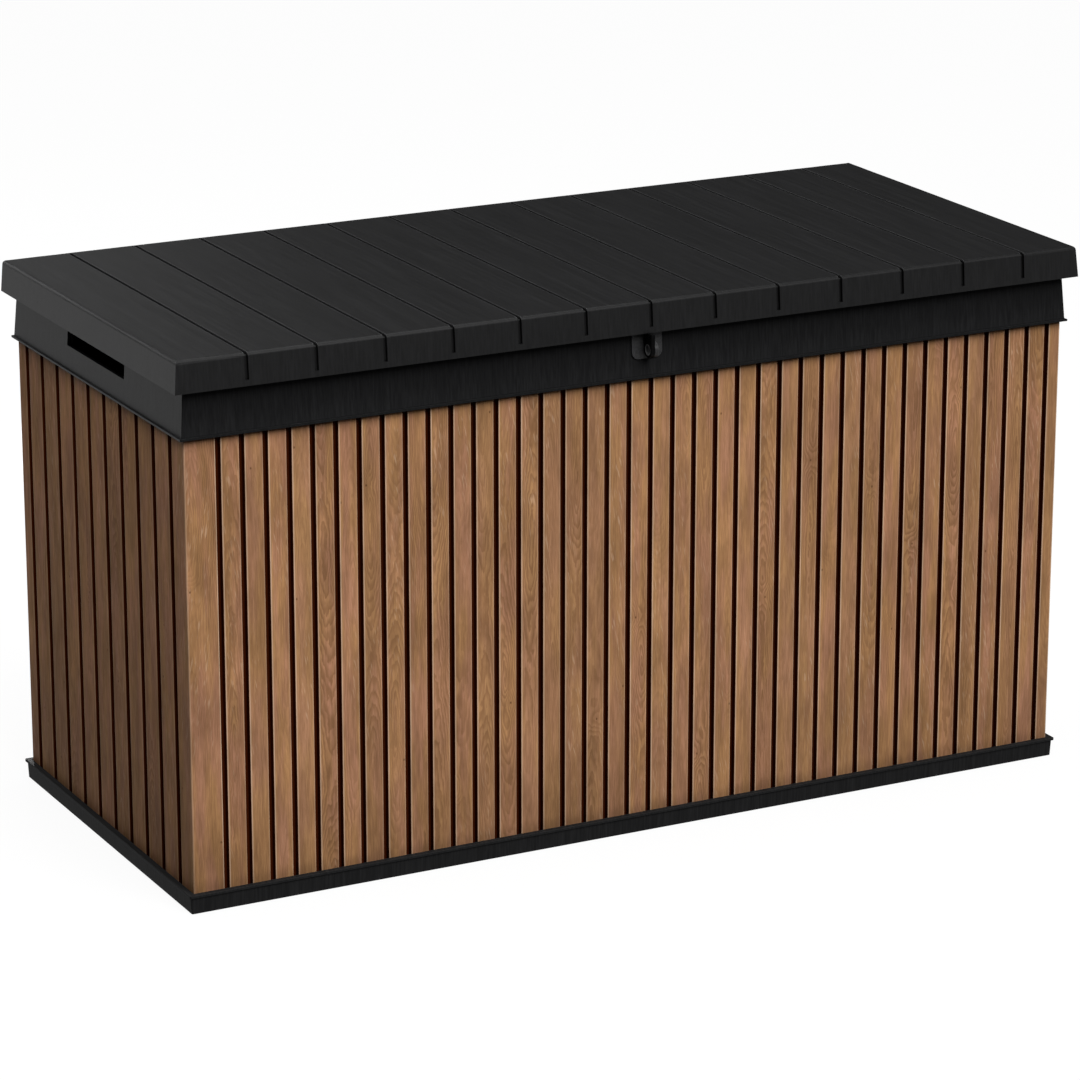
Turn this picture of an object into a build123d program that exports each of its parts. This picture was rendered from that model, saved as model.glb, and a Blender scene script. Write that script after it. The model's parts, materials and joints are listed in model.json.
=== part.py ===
from build123d import *
import math
import os

# Deck storage box: a slatted box on a plinth, with a planked lid hinged along its back.
# Millimetres. X runs left to right, Y front to back, Z up; the origin is the centre of the
# footprint on the ground. "Out" below means a distance outwards from the slat faces.

# The box over its slat faces, and the height of the rim that the lid closes on
wood_width = 1495.0
wood_depth = 652.0
rim_height = 816.0

# Base tray: plinth round the foot of the walls, channel for the walls, floor on ribs
plinth_height = 30.0
plinth_foot_out = 6.0
plinth_head_out = 7.2
plinth_lip_out = 10.0
plinth_lip_height = 4.0
plinth_corner = 3.0
channel_floor = 12.0
channel_play = 0.4
floor_height = 20.0
floor_skin = 6.0
floor_rib = 5.0
floor_cells_wide = 10
floor_cells_deep = 4

# Walls: slats outside, panels behind them, corner flanges on the front and back panels
slat_thickness = 9.0
slat_edge = 1.6
panel_thickness = 10.0
flange_thickness = 4.0
flange_depth = 42.0
bay_depth = 4.0
bay_rib = 14.0
bay_margin = 60.0
front_bays = 8
side_bays = 3

# Slat layout: pitch and gap on the long and the short walls, and the corner posts' legs
front_pitch = 37.28
front_gap = 8.0
front_post_leg = 49.7
front_post_least = 20.0
side_pitch = 62.7
side_gap = 13.5
side_post_leg = 44.8
side_post_least = 25.0
post_edge = 2.0

# Cap rails: the dark collar under the lid
rail_height = 91.0
rail_lip_out = 8.0
rail_lip_height = 3.8
rail_lip_edge = 3.0
rail_foot_out = 4.5
rail_head_in = 1.5
rail_skin = 4.4
rail_top_skin = 5.0
rail_inner_skin = 4.0
rail_inner_height = 46.0
slat_cover = 19.0

# Hand slots in the side rails, and the cups behind them
slot_length = 224.0
slot_height = 23.5
slot_below_rim = 29.0
cup_room = 4.0
cup_finger_room = 11.0
cup_wall = 3.0
cup_depth = 40.0
cup_flange = 7.0
cup_flange_thickness = 2.5
cup_play = 0.5

# Lid: planked shell, liner under it, beams between them; the last plank takes what is left
lid_height = 48.8
lid_drop = 18.2
lid_out = 18.4
lid_top_out = 14.2
lid_back_out = 18.5
lid_top_round = 6.5
lid_top_skin = 7.0
lid_skirt_skin = 6.0
plank_first = 112.4
plank_pitch = 109.7
plank_least = 60.0
groove_width = 6.0
groove_depth = 4.2
groove_above_edge = 9.0
liner_thickness = 5.0
liner_play = 0.5
liner_rib = 3.0
liner_wall = 4.0
tray_recess = 2.0
tray_rib = 46.0
tray_margin = 74.0
tray_corner = 14.0
trays_wide = 5
trays_deep = 2
beam_depth = 30.0
beam_wall = 1.6
beam_spread = 320.0
beam_end_gap = 40.0
boss_radius = 6.5
bumper_radius = 8.0
bumper_height = 2.2
bumper_rest_gap = 0.3

# Hinges: axis position, knuckles, leaves and the shelf that stops the open lid
hinge_out = 7.5
hinge_below_rim = 22.0
hinge_width = 90.0
hinge_inset = 187.5
knuckle_radius = 5.2
knuckle_count = 5
knuckle_play = 0.4
pin_radius = 2.6
pin_play = 0.05
pin_head_radius = 4.2
pin_head_height = 1.6
leaf_thickness = 3.0
leaf_height = 46.0
lid_opening = 100.0
stop_thickness = 7.0
stop_play = 0.3

# Lock under the lid's middle groove: eye plate on the front rail, eye tab on the lid beside it
plate_width = 51.0
plate_height = 49.0
plate_thickness = 3.0
plate_corner = 11.0
plate_below_rim = 60.5
eye_radius = 12.0
eye_hole_radius = 7.0
eye_out = 18.0
eye_below_rim = 44.0
eye_thickness = 6.0
eye_play = 0.4
tab_plate_width = 44.0

# Screws: one pan-head size throughout
screw_radius = 2.0
screw_play = 0.1
screw_length = 11.0
screw_tip_cover = 1.5
screw_head_radius = 4.4
screw_head_flat = 2.8
screw_head_height = 2.2
corner_screws_each = 3
rail_screw_spacing = 290.0

# Derived places
half_w = wood_width / 2
half_d = wood_depth / 2
wall = slat_thickness + panel_thickness
rail_bottom = rim_height - rail_height
panel_top = rim_height - rail_top_skin
slat_top = rail_bottom + slat_cover
rail_inner_bottom = rim_height - rail_inner_height
rail_face_foot = rail_bottom + rail_lip_height
rail_lean = math.degrees(math.atan2(rail_foot_out + rail_head_in, rim_height - rail_face_foot))
slot_top = rim_height - slot_below_rim
slot_bottom = slot_top - slot_height
cup_bottom = slot_bottom - cup_room
cup_top = slot_top + cup_finger_room
lid_bottom = rim_height - lid_drop
lid_top = lid_bottom + lid_height
lid_ceiling = lid_top - lid_top_skin
lid_inner_out = lid_top_out - lid_skirt_skin
lid_inner_back = lid_back_out - lid_skirt_skin
skirt_screw_length = leaf_thickness + lid_skirt_skin - screw_tip_cover
liner_bottom = rim_height + bumper_height + bumper_rest_gap
liner_top = liner_bottom + liner_thickness
hinge_y = half_d + hinge_out
hinge_z = rim_height - hinge_below_rim
groove_first = plank_first - half_w - lid_out
groove_room = wood_width + 2 * lid_out - plank_first - plank_least
groove_count = int(groove_room / plank_pitch) + 1
groove_places = [groove_first + plank_pitch * i for i in range(groove_count)]
lock_x = groove_places[len(groove_places) // 2]
hinge_spread = half_w - hinge_inset
hinge_places = {"left": -hinge_spread, "middle": 0.0, "right": hinge_spread}

# Directions that a screw head can face
TO_FRONT = (0, -1, 0)
TO_BACK = (0, 1, 0)
TO_LEFT = (-1, 0, 0)
TO_RIGHT = (1, 0, 0)
DOWN = (0, 0, -1)

os.makedirs("parts", exist_ok=True)


def save(piece, name):
    """Label a finished piece and write it as one STEP file."""
    piece.part.label = name
    export_step(piece.part, f"parts/{name}.step")


def save_turned(source, turn, name):
    """Write a copy of a piece that is built facing the front, turned about the vertical axis."""
    with BuildPart() as piece:
        add(source.part.rotate(Axis.Z, turn))
    save(piece, name)


def rail_face_out(z):
    """How far out the cap rail's leaning face stands at a height."""
    share = (z - rail_face_foot) / (rim_height - rail_face_foot)
    return rail_foot_out - share * (rail_foot_out + rail_head_in)


def screw_places(points, facing):
    """Seats of screw heads at the points, with the heads facing one way."""
    return [Plane(origin=point, z_dir=facing).location for point in points]


def screw_holes(places, length=screw_length):
    """Cut clearance holes for screws of a length into the part being built."""
    with Locations(*places):
        Cylinder(screw_radius + screw_play, 2 * (length + screw_play), mode=Mode.SUBTRACT)


def save_screws(places, name, length=screw_length):
    """Write a group of pan-head screws of a length as one node."""
    with BuildPart() as screws:
        with Locations(*places):
            Cylinder(screw_radius, length, align=(Align.CENTER, Align.CENTER, Align.MAX))
            Cone(
                screw_head_radius,
                screw_head_flat,
                screw_head_height,
                align=(Align.CENTER, Align.CENTER, Align.MIN),
            )
    save(screws, name)


def slat_row(reach, centres, width, name_turns):
    """Write the slats of one kind of wall, built facing the front and turned to each wall."""
    with BuildPart() as slats:
        with BuildSketch(Plane.XY.offset(channel_floor)) as plan:
            with Locations(*[(x, -(reach - slat_thickness / 2)) for x in centres]):
                Rectangle(width, slat_thickness)
            fillet(plan.vertices().group_by(Axis.Y)[0], slat_edge)
        extrude(amount=slat_top - channel_floor)
    for name, turn in name_turns.items():
        save_turned(slats, turn, name)


def corner_post(side, end, front_leg, side_leg, name):
    """Write one corner post: an angle of slat thickness round a corner of the panels."""
    with BuildPart() as post:
        with BuildSketch(Plane.XY.offset(channel_floor)) as plan:
            with Locations((side * (half_w - front_leg / 2), end * (half_d - slat_thickness / 2))):
                Rectangle(front_leg, slat_thickness)
            with Locations((side * (half_w - slat_thickness / 2), end * (half_d - side_leg / 2))):
                Rectangle(slat_thickness, side_leg)
            corners = plan.vertices().sort_by_distance((side * half_w, end * half_d, 0))
            fillet(corners[0], post_edge)
        extrude(amount=slat_top - channel_floor)
    save(post, name)


def cap_rail(reach, run, has_slot):
    """One side of the collar, facing the front, mitred at both ends.

    It hooks over the panel's top edge: a leaning face hides the slat tops, and an inner skirt
    lies against the panel's inside.
    """
    outline = [
        (rail_lip_out, rail_bottom),
        (rail_lip_out, rail_bottom + rail_lip_edge),
        (rail_foot_out, rail_face_foot),
        (-rail_head_in, rim_height),
        (-(wall + rail_inner_skin), rim_height),
        (-(wall + rail_inner_skin), rail_inner_bottom),
        (-wall, rail_inner_bottom),
        (-wall, panel_top),
        (rail_face_out(panel_top) - rail_skin, panel_top),
        (rail_face_out(slat_top) - rail_skin, slat_top + rail_skin),
        (channel_play, slat_top + channel_play),
        (channel_play, rail_bottom),
    ]
    inner = wall + rail_inner_skin
    outer = rail_lip_out
    mitre = [
        (-(run + outer), -(reach + outer)),
        (run + outer, -(reach + outer)),
        (run - inner, -(reach - inner)),
        (-(run - inner), -(reach - inner)),
    ]
    with BuildPart() as rail:
        with BuildSketch(Plane.YZ):
            with BuildLine():
                Polyline(*[(-reach - out, z) for out, z in outline], close=True)
            make_face()
        extrude(amount=run + outer, both=True)
        with BuildSketch():
            with BuildLine():
                Polyline(*mitre, close=True)
            make_face()
        extrude(amount=rim_height, mode=Mode.INTERSECT)
        if has_slot:
            with BuildSketch(Plane.XZ.offset(reach - slat_thickness)):
                with Locations((0, (slot_bottom + slot_top) / 2)):
                    Rectangle(slot_length, slot_height)
            extrude(amount=slat_thickness + rail_lip_out, mode=Mode.SUBTRACT)
            with BuildSketch(Plane.XZ.offset(reach - slat_thickness)):
                with Locations((0, (cup_bottom + cup_top) / 2)):
                    Rectangle(
                        slot_length + 2 * (cup_room + cup_wall + cup_play),
                        cup_top - cup_bottom + 2 * (cup_wall + cup_play),
                    )
            extrude(amount=-(panel_thickness + rail_inner_skin), mode=Mode.SUBTRACT)
        screw_holes(rail_screw_places(reach, run))
    return rail


def rail_screw_places(reach, run):
    """Screws through a rail's inner skirt into the panel, for a rail that faces the front."""
    room = 2 * (run - wall)
    count = round(room / rail_screw_spacing)
    spacing = room / count
    height = rail_inner_bottom + 3 * screw_head_radius
    inside = -(reach - wall - rail_inner_skin)
    return screw_places(
        [(spacing * (i + 0.5 - count / 2), inside, height) for i in range(count)], TO_BACK
    )


# Base tray
with BuildPart() as base_tray:
    lip_bottom = plinth_height - plinth_lip_height
    with BuildSketch():
        RectangleRounded(
            wood_width + 2 * plinth_foot_out, wood_depth + 2 * plinth_foot_out, plinth_corner
        )
    with BuildSketch(Plane.XY.offset(lip_bottom)):
        RectangleRounded(
            wood_width + 2 * plinth_head_out, wood_depth + 2 * plinth_head_out, plinth_corner
        )
    loft()
    with BuildSketch(Plane.XY.offset(lip_bottom)):
        RectangleRounded(
            wood_width + 2 * plinth_lip_out, wood_depth + 2 * plinth_lip_out, plinth_corner
        )
    extrude(amount=plinth_lip_height)
    with BuildSketch(Plane.XY.offset(plinth_height)):
        Rectangle(wood_width + 2 * channel_play, wood_depth + 2 * channel_play)
    extrude(amount=floor_height - plinth_height, mode=Mode.SUBTRACT)
    floor_width = wood_width - 2 * (wall + channel_play)
    floor_depth = wood_depth - 2 * (wall + channel_play)
    with BuildSketch(Plane.XY.offset(floor_height)):
        Rectangle(wood_width + 2 * channel_play, wood_depth + 2 * channel_play)
        Rectangle(floor_width, floor_depth, mode=Mode.SUBTRACT)
    extrude(amount=channel_floor - floor_height, mode=Mode.SUBTRACT)
    cell_width = (floor_width - floor_rib) / floor_cells_wide - floor_rib
    cell_depth = (floor_depth - floor_rib) / floor_cells_deep - floor_rib
    with BuildSketch():
        with GridLocations(
            cell_width + floor_rib, cell_depth + floor_rib, floor_cells_wide, floor_cells_deep
        ):
            Rectangle(cell_width, cell_depth)
    extrude(amount=floor_height - floor_skin, mode=Mode.SUBTRACT)
save(base_tray, "base_tray")

# Corner joints: screws through the flanges of the front and back panels into the side panels
flange_top = rail_inner_bottom - channel_play
flange_inside = half_w - wall - flange_thickness
flange_middle = half_d - wall - flange_depth / 2
corner_step = (flange_top - floor_height) / corner_screws_each
corner_heights = [floor_height + corner_step * (i + 0.5) for i in range(corner_screws_each)]
corner_places = []
for end in (-1, 1):
    corner_places += screw_places(
        [(-flange_inside, end * flange_middle, z) for z in corner_heights], TO_RIGHT
    )
    corner_places += screw_places(
        [(flange_inside, end * flange_middle, z) for z in corner_heights], TO_LEFT
    )
save_screws(corner_places, "corner_screws")

# Front and back panels, with stiffening bays on the inside
with BuildPart() as long_panel:
    with BuildSketch(Plane.XY.offset(channel_floor)):
        with Locations((0, -(half_d - slat_thickness - panel_thickness / 2))):
            Rectangle(2 * (half_w - slat_thickness), panel_thickness)
    extrude(amount=panel_top - channel_floor)
    with BuildSketch(Plane.XY.offset(floor_height)):
        for side in (-1, 1):
            with Locations((side * (flange_inside + flange_thickness / 2), -flange_middle)):
                Rectangle(flange_thickness, flange_depth)
    extrude(amount=flange_top - floor_height)
    bay_height = rail_inner_bottom - floor_height - 2 * bay_margin
    bay_middle = (rail_inner_bottom + floor_height) / 2
    bay_pitch = 2 * (half_w - wall - bay_margin) / front_bays
    with BuildSketch(Plane.XZ.offset(half_d - wall)):
        with Locations((0, bay_middle)):
            with GridLocations(bay_pitch, bay_height, front_bays, 1):
                Rectangle(bay_pitch - bay_rib, bay_height)
    extrude(amount=bay_depth, mode=Mode.SUBTRACT)
    screw_holes(corner_places)
    screw_holes(rail_screw_places(half_d, half_w))
save_turned(long_panel, 0, "front_panel")
save_turned(long_panel, 180, "back_panel")

# Left and right panels, with the openings for the hand cups
with BuildPart() as short_panel:
    with BuildSketch(Plane.XY.offset(channel_floor)):
        with Locations((0, -(half_w - slat_thickness - panel_thickness / 2))):
            Rectangle(2 * (half_d - wall), panel_thickness)
    extrude(amount=panel_top - channel_floor)
    side_bay_pitch = 2 * (half_d - wall - bay_margin) / side_bays
    with BuildSketch(Plane.XZ.offset(half_w - wall)):
        with Locations((0, bay_middle)):
            with GridLocations(side_bay_pitch, bay_height, side_bays, 1):
                Rectangle(side_bay_pitch - bay_rib, bay_height)
    extrude(amount=bay_depth, mode=Mode.SUBTRACT)
    with BuildSketch(Plane.XZ.offset(half_w - slat_thickness)):
        with Locations((0, (cup_bottom + cup_top) / 2)):
            Rectangle(
                slot_length + 2 * (cup_room + cup_wall + cup_play),
                cup_top - cup_bottom + 2 * (cup_wall + cup_play),
            )
    extrude(amount=-panel_thickness, mode=Mode.SUBTRACT)
    for side in (-1, 1):
        side_seats = [(side * flange_middle, -flange_inside, z) for z in corner_heights]
        screw_holes(screw_places(side_seats, TO_BACK))
    screw_holes(rail_screw_places(half_w, half_d))
save_turned(short_panel, 270, "left_panel")
save_turned(short_panel, 90, "right_panel")

# Slats: the first gap is measured from the wide corner posts, the narrow posts take the rest
front_start = -half_w + front_post_leg + front_gap / 2
front_room = wood_width - front_post_leg - front_gap
front_count = int((front_room - front_post_least) / front_pitch)
front_narrow_leg = front_room - front_count * front_pitch
front_centres = [front_start + front_pitch * (i + 0.5) for i in range(front_count)]
side_start = half_d - side_post_leg - side_gap / 2
side_room = wood_depth - side_post_leg - side_gap
side_count = int((side_room - side_post_least) / side_pitch)
side_narrow_leg = side_room - side_count * side_pitch
side_centres = [side_start - side_pitch * (i + 0.5) for i in range(side_count)]
slat_row(half_d, front_centres, front_pitch - front_gap, {"front_slats": 0, "back_slats": 180})
slat_row(half_w, side_centres, side_pitch - side_gap, {"left_slats": 270, "right_slats": 90})
corner_post(-1, -1, front_post_leg, side_post_leg, "corner_post_front_left")
corner_post(1, 1, front_post_leg, side_post_leg, "corner_post_back_right")
corner_post(1, -1, front_narrow_leg, side_narrow_leg, "corner_post_front_right")
corner_post(-1, 1, front_narrow_leg, side_narrow_leg, "corner_post_back_left")

# Hand cups: flanged trays set into the side panels from outside
with BuildPart() as hand_cup:
    cup_length = slot_length + 2 * cup_room
    cup_height = cup_top - cup_bottom
    cup_middle = (cup_bottom + cup_top) / 2
    with BuildSketch(Plane.XZ.offset(half_w - slat_thickness)):
        with Locations((0, cup_middle)):
            Rectangle(cup_length + 2 * cup_wall, cup_height + 2 * cup_wall)
    extrude(amount=-cup_depth)
    with BuildSketch(Plane.XZ.offset(half_w - slat_thickness)):
        with Locations((0, cup_middle)):
            Rectangle(
                cup_length + 2 * (cup_wall + cup_flange), cup_height + 2 * (cup_wall + cup_play)
            )
    extrude(amount=cup_flange_thickness)
    with BuildSketch(Plane.XZ.offset(half_w - slat_thickness + cup_flange_thickness)):
        with Locations((0, cup_middle)):
            Rectangle(cup_length, cup_height)
    extrude(amount=-(cup_depth + cup_flange_thickness - cup_wall), mode=Mode.SUBTRACT)
save_turned(hand_cup, 270, "hand_cup_left")
save_turned(hand_cup, 90, "hand_cup_right")

# Lock: eye plate on the leaning face of the front rail, held by screws from behind the face
plate_middle = rim_height - plate_below_rim + plate_height / 2
plate_plane = Plane(
    origin=(lock_x, -half_d - rail_face_out(plate_middle), plate_middle),
    x_dir=(1, 0, 0),
    z_dir=TO_FRONT,
).rotated((-rail_lean, 0, 0))
eye_z = rim_height - eye_below_rim
eye_centre = (-half_d - eye_out, eye_z)
plate_screw_step = plate_width / 2 - plate_corner / 2
plate_screw_length = rail_skin + plate_thickness - screw_tip_cover
plate_screws = []
for side in (-1, 1):
    seat = Location((side * plate_screw_step, 0, -rail_skin), (180, 0, 0))
    plate_screws.append(plate_plane * seat)
with BuildPart() as lock_plate:
    with BuildSketch(plate_plane) as plate_outline:
        Rectangle(plate_width, plate_height)
        fillet(plate_outline.vertices().group_by(Axis.Z)[0], plate_corner)
    extrude(amount=plate_thickness)
    with BuildSketch(Plane.YZ.offset(lock_x + eye_play)):
        with Locations(eye_centre):
            Circle(eye_radius)
        fin_root = -half_d - rail_face_out(eye_z) - plate_thickness / 2
        with Locations(((eye_centre[0] + fin_root) / 2, eye_z)):
            Rectangle(fin_root - eye_centre[0], 2 * eye_radius)
        with Locations(eye_centre):
            Circle(eye_hole_radius, mode=Mode.SUBTRACT)
    extrude(amount=eye_thickness)
    screw_holes(plate_screws, plate_screw_length)
save(lock_plate, "lock_plate")
save_screws(plate_screws, "lock_plate_screws", plate_screw_length)

# Collar
long_rail = cap_rail(half_d, half_w, False)
with BuildPart() as rail_front:
    add(long_rail)
    screw_holes(plate_screws, plate_screw_length)
save(rail_front, "rail_front")

# Hinges: the box leaf lies on the back rail's leaning face and carries the open lid's stop
open_turn = math.radians(lid_opening)
skirt_back = lid_back_out - hinge_out
skirt_low = lid_bottom - hinge_z


def opened(back, up):
    """Where a point of the lid's back, measured from the hinge axis, lies when the lid is open."""
    return (
        back * math.cos(open_turn) + up * math.sin(open_turn),
        -back * math.sin(open_turn) + up * math.cos(open_turn),
    )


stop_inner = opened(skirt_back, skirt_low)
stop_slope = math.tan(math.radians(90.0 - lid_opening))
stop_tip = lid_back_out - hinge_out
leaf_top = hinge_z - knuckle_radius - knuckle_play
leaf_bottom = leaf_top - leaf_height + stop_thickness


def leaf_outline():
    """Side view of the box leaf: plate on the rail, stop shelf standing out at its top."""
    shelf_inner = hinge_z + stop_inner[1] - stop_play
    shelf_outer = shelf_inner + stop_slope * (stop_tip - stop_inner[0])
    return [
        (rail_face_out(leaf_bottom), leaf_bottom),
        (rail_face_out(leaf_bottom) + leaf_thickness, leaf_bottom),
        (rail_face_out(leaf_bottom) + leaf_thickness, shelf_outer - 2 * stop_thickness),
        (hinge_out + stop_tip, shelf_outer - stop_thickness / 2),
        (hinge_out + stop_tip, shelf_outer),
        (hinge_out + stop_inner[0], shelf_inner),
        (rail_face_out(shelf_inner) + leaf_thickness, shelf_inner),
        (rail_face_out(leaf_top) + leaf_thickness, leaf_top),
        (rail_face_out(leaf_top), leaf_top),
    ]


knuckle_length = hinge_width / knuckle_count
box_knuckles = [i for i in range(knuckle_count) if i % 2 == 0]
lid_knuckles = [i for i in range(knuckle_count) if i % 2 == 1]


def knuckle_start(place, index):
    """Left end of a knuckle along the hinge axis."""
    return place - hinge_width / 2 + index * knuckle_length + knuckle_play / 2


def hinge_screw_offsets():
    """Places of a leaf's two screws along the hinge."""
    return (-hinge_width / 3, hinge_width / 3)


box_screws = []
lid_screws = []
lid_leaf_bottom = hinge_z + knuckle_radius + 2 * knuckle_play
lid_leaf_middle = (lid_leaf_bottom + liner_bottom) / 2
lid_leaf_face = half_d + lid_inner_back - leaf_thickness
box_screw_z = leaf_bottom + 2 * screw_head_radius
leaf_face_y = half_d + rail_face_out(leaf_bottom) + leaf_thickness
for place in hinge_places.values():
    box_screws += screw_places(
        [(place + offset, leaf_face_y, box_screw_z) for offset in hinge_screw_offsets()], TO_BACK
    )
    lid_screws += screw_places(
        [(place + offset, lid_leaf_face, lid_leaf_middle) for offset in hinge_screw_offsets()],
        TO_FRONT,
    )

for side, place in hinge_places.items():
    with BuildPart() as box_leaf:
        with BuildSketch(Plane.YZ.offset(place)):
            with BuildLine():
                Polyline(*[(half_d + out, z) for out, z in leaf_outline()], close=True)
            make_face()
        extrude(amount=hinge_width / 2, both=True)
        for index in box_knuckles:
            with BuildSketch(Plane.YZ.offset(knuckle_start(place, index))):
                with BuildLine():
                    Polyline(
                        (half_d + rail_face_out(leaf_top), leaf_top),
                        (half_d + rail_face_out(leaf_top) + leaf_thickness, leaf_top),
                        (hinge_y, hinge_z - knuckle_radius),
                        (hinge_y, hinge_z + knuckle_radius),
                        (half_d + rail_face_out(hinge_z), hinge_z),
                        close=True,
                    )
                make_face()
                with Locations((hinge_y, hinge_z)):
                    Circle(knuckle_radius)
                    Circle(pin_radius + pin_play, mode=Mode.SUBTRACT)
            extrude(amount=knuckle_length - knuckle_play)
        screw_holes(box_screws)
    save(box_leaf, f"hinge_{side}_box_leaf")

    with BuildPart() as lid_leaf:
        with BuildSketch(Plane.XZ.offset(-lid_leaf_face)):
            with Locations((place, lid_leaf_middle)):
                Rectangle(hinge_width, liner_bottom - lid_leaf_bottom)
        extrude(amount=-leaf_thickness)
        for index in lid_knuckles:
            with BuildSketch(Plane.YZ.offset(knuckle_start(place, index))):
                with BuildLine():
                    Polyline(
                        (lid_leaf_face, lid_leaf_bottom),
                        (hinge_y - knuckle_radius / 2, hinge_z),
                        (hinge_y, hinge_z - knuckle_radius / 2),
                        (lid_leaf_face + leaf_thickness, lid_leaf_bottom),
                        close=True,
                    )
                make_face()
                with Locations((hinge_y, hinge_z)):
                    Circle(knuckle_radius)
                    Circle(pin_radius + pin_play, mode=Mode.SUBTRACT)
            extrude(amount=knuckle_length - knuckle_play)
        screw_holes(lid_screws, skirt_screw_length)
    save(lid_leaf, f"hinge_{side}_lid_leaf")

    with BuildPart() as pin:
        pin_length = hinge_width - knuckle_play
        with BuildSketch(Plane.YZ.offset(place - pin_length / 2)):
            with Locations((hinge_y, hinge_z)):
                Circle(pin_radius)
        extrude(amount=pin_length)
        for start, height in ((-pin_length / 2, -pin_head_height), (pin_length / 2, pin_head_height)):
            with BuildSketch(Plane.YZ.offset(place + start)):
                with Locations((hinge_y, hinge_z)):
                    Circle(pin_head_radius)
            extrude(amount=height)
    save(pin, f"hinge_{side}_pin")
save_screws(box_screws, "hinge_box_screws")
save_screws(lid_screws, "hinge_lid_screws", skirt_screw_length)

with BuildPart() as rail_back:
    add(long_rail.part.rotate(Axis.Z, 180))
    screw_holes(box_screws)
save(rail_back, "rail_back")
short_rail = cap_rail(half_w, half_d, True)
save_turned(short_rail, 270, "rail_left")
save_turned(short_rail, 90, "rail_right")

# Rail screws on all four sides
rail_places = []
for turn, reach, run in (
    (0, half_d, half_w),
    (90, half_w, half_d),
    (180, half_d, half_w),
    (270, half_w, half_d),
):
    for place in rail_screw_places(reach, run):
        rail_places.append(Location((0, 0, 0), (0, 0, turn)) * place)
save_screws(rail_places, "rail_screws")

# Lid shell: drafted skirt, rounded top edge, a groove between each pair of planks
lid_foot_width = wood_width + 2 * lid_out
lid_foot_depth = wood_depth + lid_out + lid_back_out
lid_head_width = wood_width + 2 * lid_top_out
lid_head_depth = wood_depth + lid_top_out + lid_back_out
lid_front = -(half_d + lid_out)
lid_head_front = -(half_d + lid_top_out)
lid_back = half_d + lid_back_out
boss_step = (wood_width - 2 * tray_margin) / trays_wide
boss_row = half_d - tray_margin / 2 - wall
liner_screw_points = []
for i in range(trays_wide + 1):
    for end in (-1, 1):
        liner_screw_points.append((boss_step * (i - trays_wide / 2), end * boss_row, liner_bottom))
liner_screws = screw_places(liner_screw_points, DOWN)

# Lock tab on the lid: plate inside the skirt, eye hanging in front of the rail
tab_face = half_d + lid_inner_out - plate_thickness
tab_middle = (lid_bottom + liner_bottom) / 2
tab_screw_step = tab_plate_width / 2 - 2 * screw_head_radius
tab_screws = screw_places(
    [(lock_x + side * tab_screw_step, -tab_face, tab_middle) for side in (-1, 1)], TO_BACK
)
with BuildPart() as lid_eye:
    with BuildSketch(Plane.XZ.offset(tab_face)):
        with Locations((lock_x, tab_middle)):
            Rectangle(tab_plate_width, liner_bottom - lid_bottom)
    extrude(amount=plate_thickness)
    with BuildSketch(Plane.YZ.offset(lock_x - eye_play)):
        with BuildLine():
            Polyline(
                (-tab_face, tab_middle),
                (-tab_face - plate_thickness, tab_middle),
                (-tab_face - plate_thickness, lid_bottom - eye_play),
                (eye_centre[0] - eye_radius, lid_bottom - eye_play),
                (eye_centre[0] - eye_radius, eye_z),
                (eye_centre[0] + eye_radius, eye_z),
                (-tab_face, lid_bottom - eye_radius),
                close=True,
            )
        make_face()
        with Locations(eye_centre):
            Circle(eye_radius)
            Circle(eye_hole_radius, mode=Mode.SUBTRACT)
    extrude(amount=-eye_thickness)
    screw_holes(tab_screws, skirt_screw_length)
save(lid_eye, "lid_eye")
save_screws(tab_screws, "lid_eye_screws", skirt_screw_length)

with BuildPart() as lid_shell:
    with BuildSketch(Plane.XY.offset(lid_bottom)):
        with Locations((0, (lid_front + lid_back) / 2)):
            Rectangle(lid_foot_width, lid_foot_depth)
    with BuildSketch(Plane.XY.offset(lid_top)):
        with Locations((0, (lid_head_front + lid_back) / 2)):
            Rectangle(lid_head_width, lid_head_depth)
    loft(ruled=True)
    fillet(lid_shell.faces().sort_by(Axis.Z)[-1].edges(), lid_top_round)
    cavity_front = -(half_d + lid_inner_out)
    cavity_back = half_d + lid_inner_back
    with BuildSketch(Plane.XY.offset(lid_bottom)):
        with Locations((0, (cavity_front + cavity_back) / 2)):
            Rectangle(wood_width + 2 * lid_inner_out, cavity_back - cavity_front)
    extrude(amount=lid_ceiling - lid_bottom, mode=Mode.SUBTRACT)
    groove_end = lid_bottom + groove_above_edge
    groove_floor = lid_top - groove_depth
    end_share = (groove_end - lid_bottom) / lid_height
    groove_front = lid_front + end_share * (lid_out - lid_top_out)
    with BuildSketch(*[Plane.YZ.offset(x) for x in groove_places]):
        with BuildLine():
            FilletPolyline(
                (groove_front + groove_depth, groove_end),
                (lid_head_front + groove_depth, groove_floor),
                (lid_back - groove_depth, groove_floor),
                (lid_back - groove_depth, groove_end),
                radius=lid_top_round - groove_depth,
            )
            Polyline(
                (lid_back - groove_depth, groove_end),
                (lid_back + groove_depth, groove_end),
                (lid_back + groove_depth, lid_top + groove_depth),
                (lid_front - groove_depth, lid_top + groove_depth),
                (lid_front - groove_depth, groove_end),
                (groove_front + groove_depth, groove_end),
            )
        make_face()
    extrude(amount=groove_width / 2, both=True, mode=Mode.SUBTRACT)
    with BuildSketch(Plane.XY.offset(lid_ceiling)):
        with Locations(*[(x, y) for x, y, z in liner_screw_points]):
            Circle(boss_radius)
    extrude(amount=liner_top - lid_ceiling)
    screw_holes(liner_screws)
    screw_holes(lid_screws, skirt_screw_length)
    screw_holes(tab_screws, skirt_screw_length)
save(lid_shell, "lid_shell")

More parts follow.
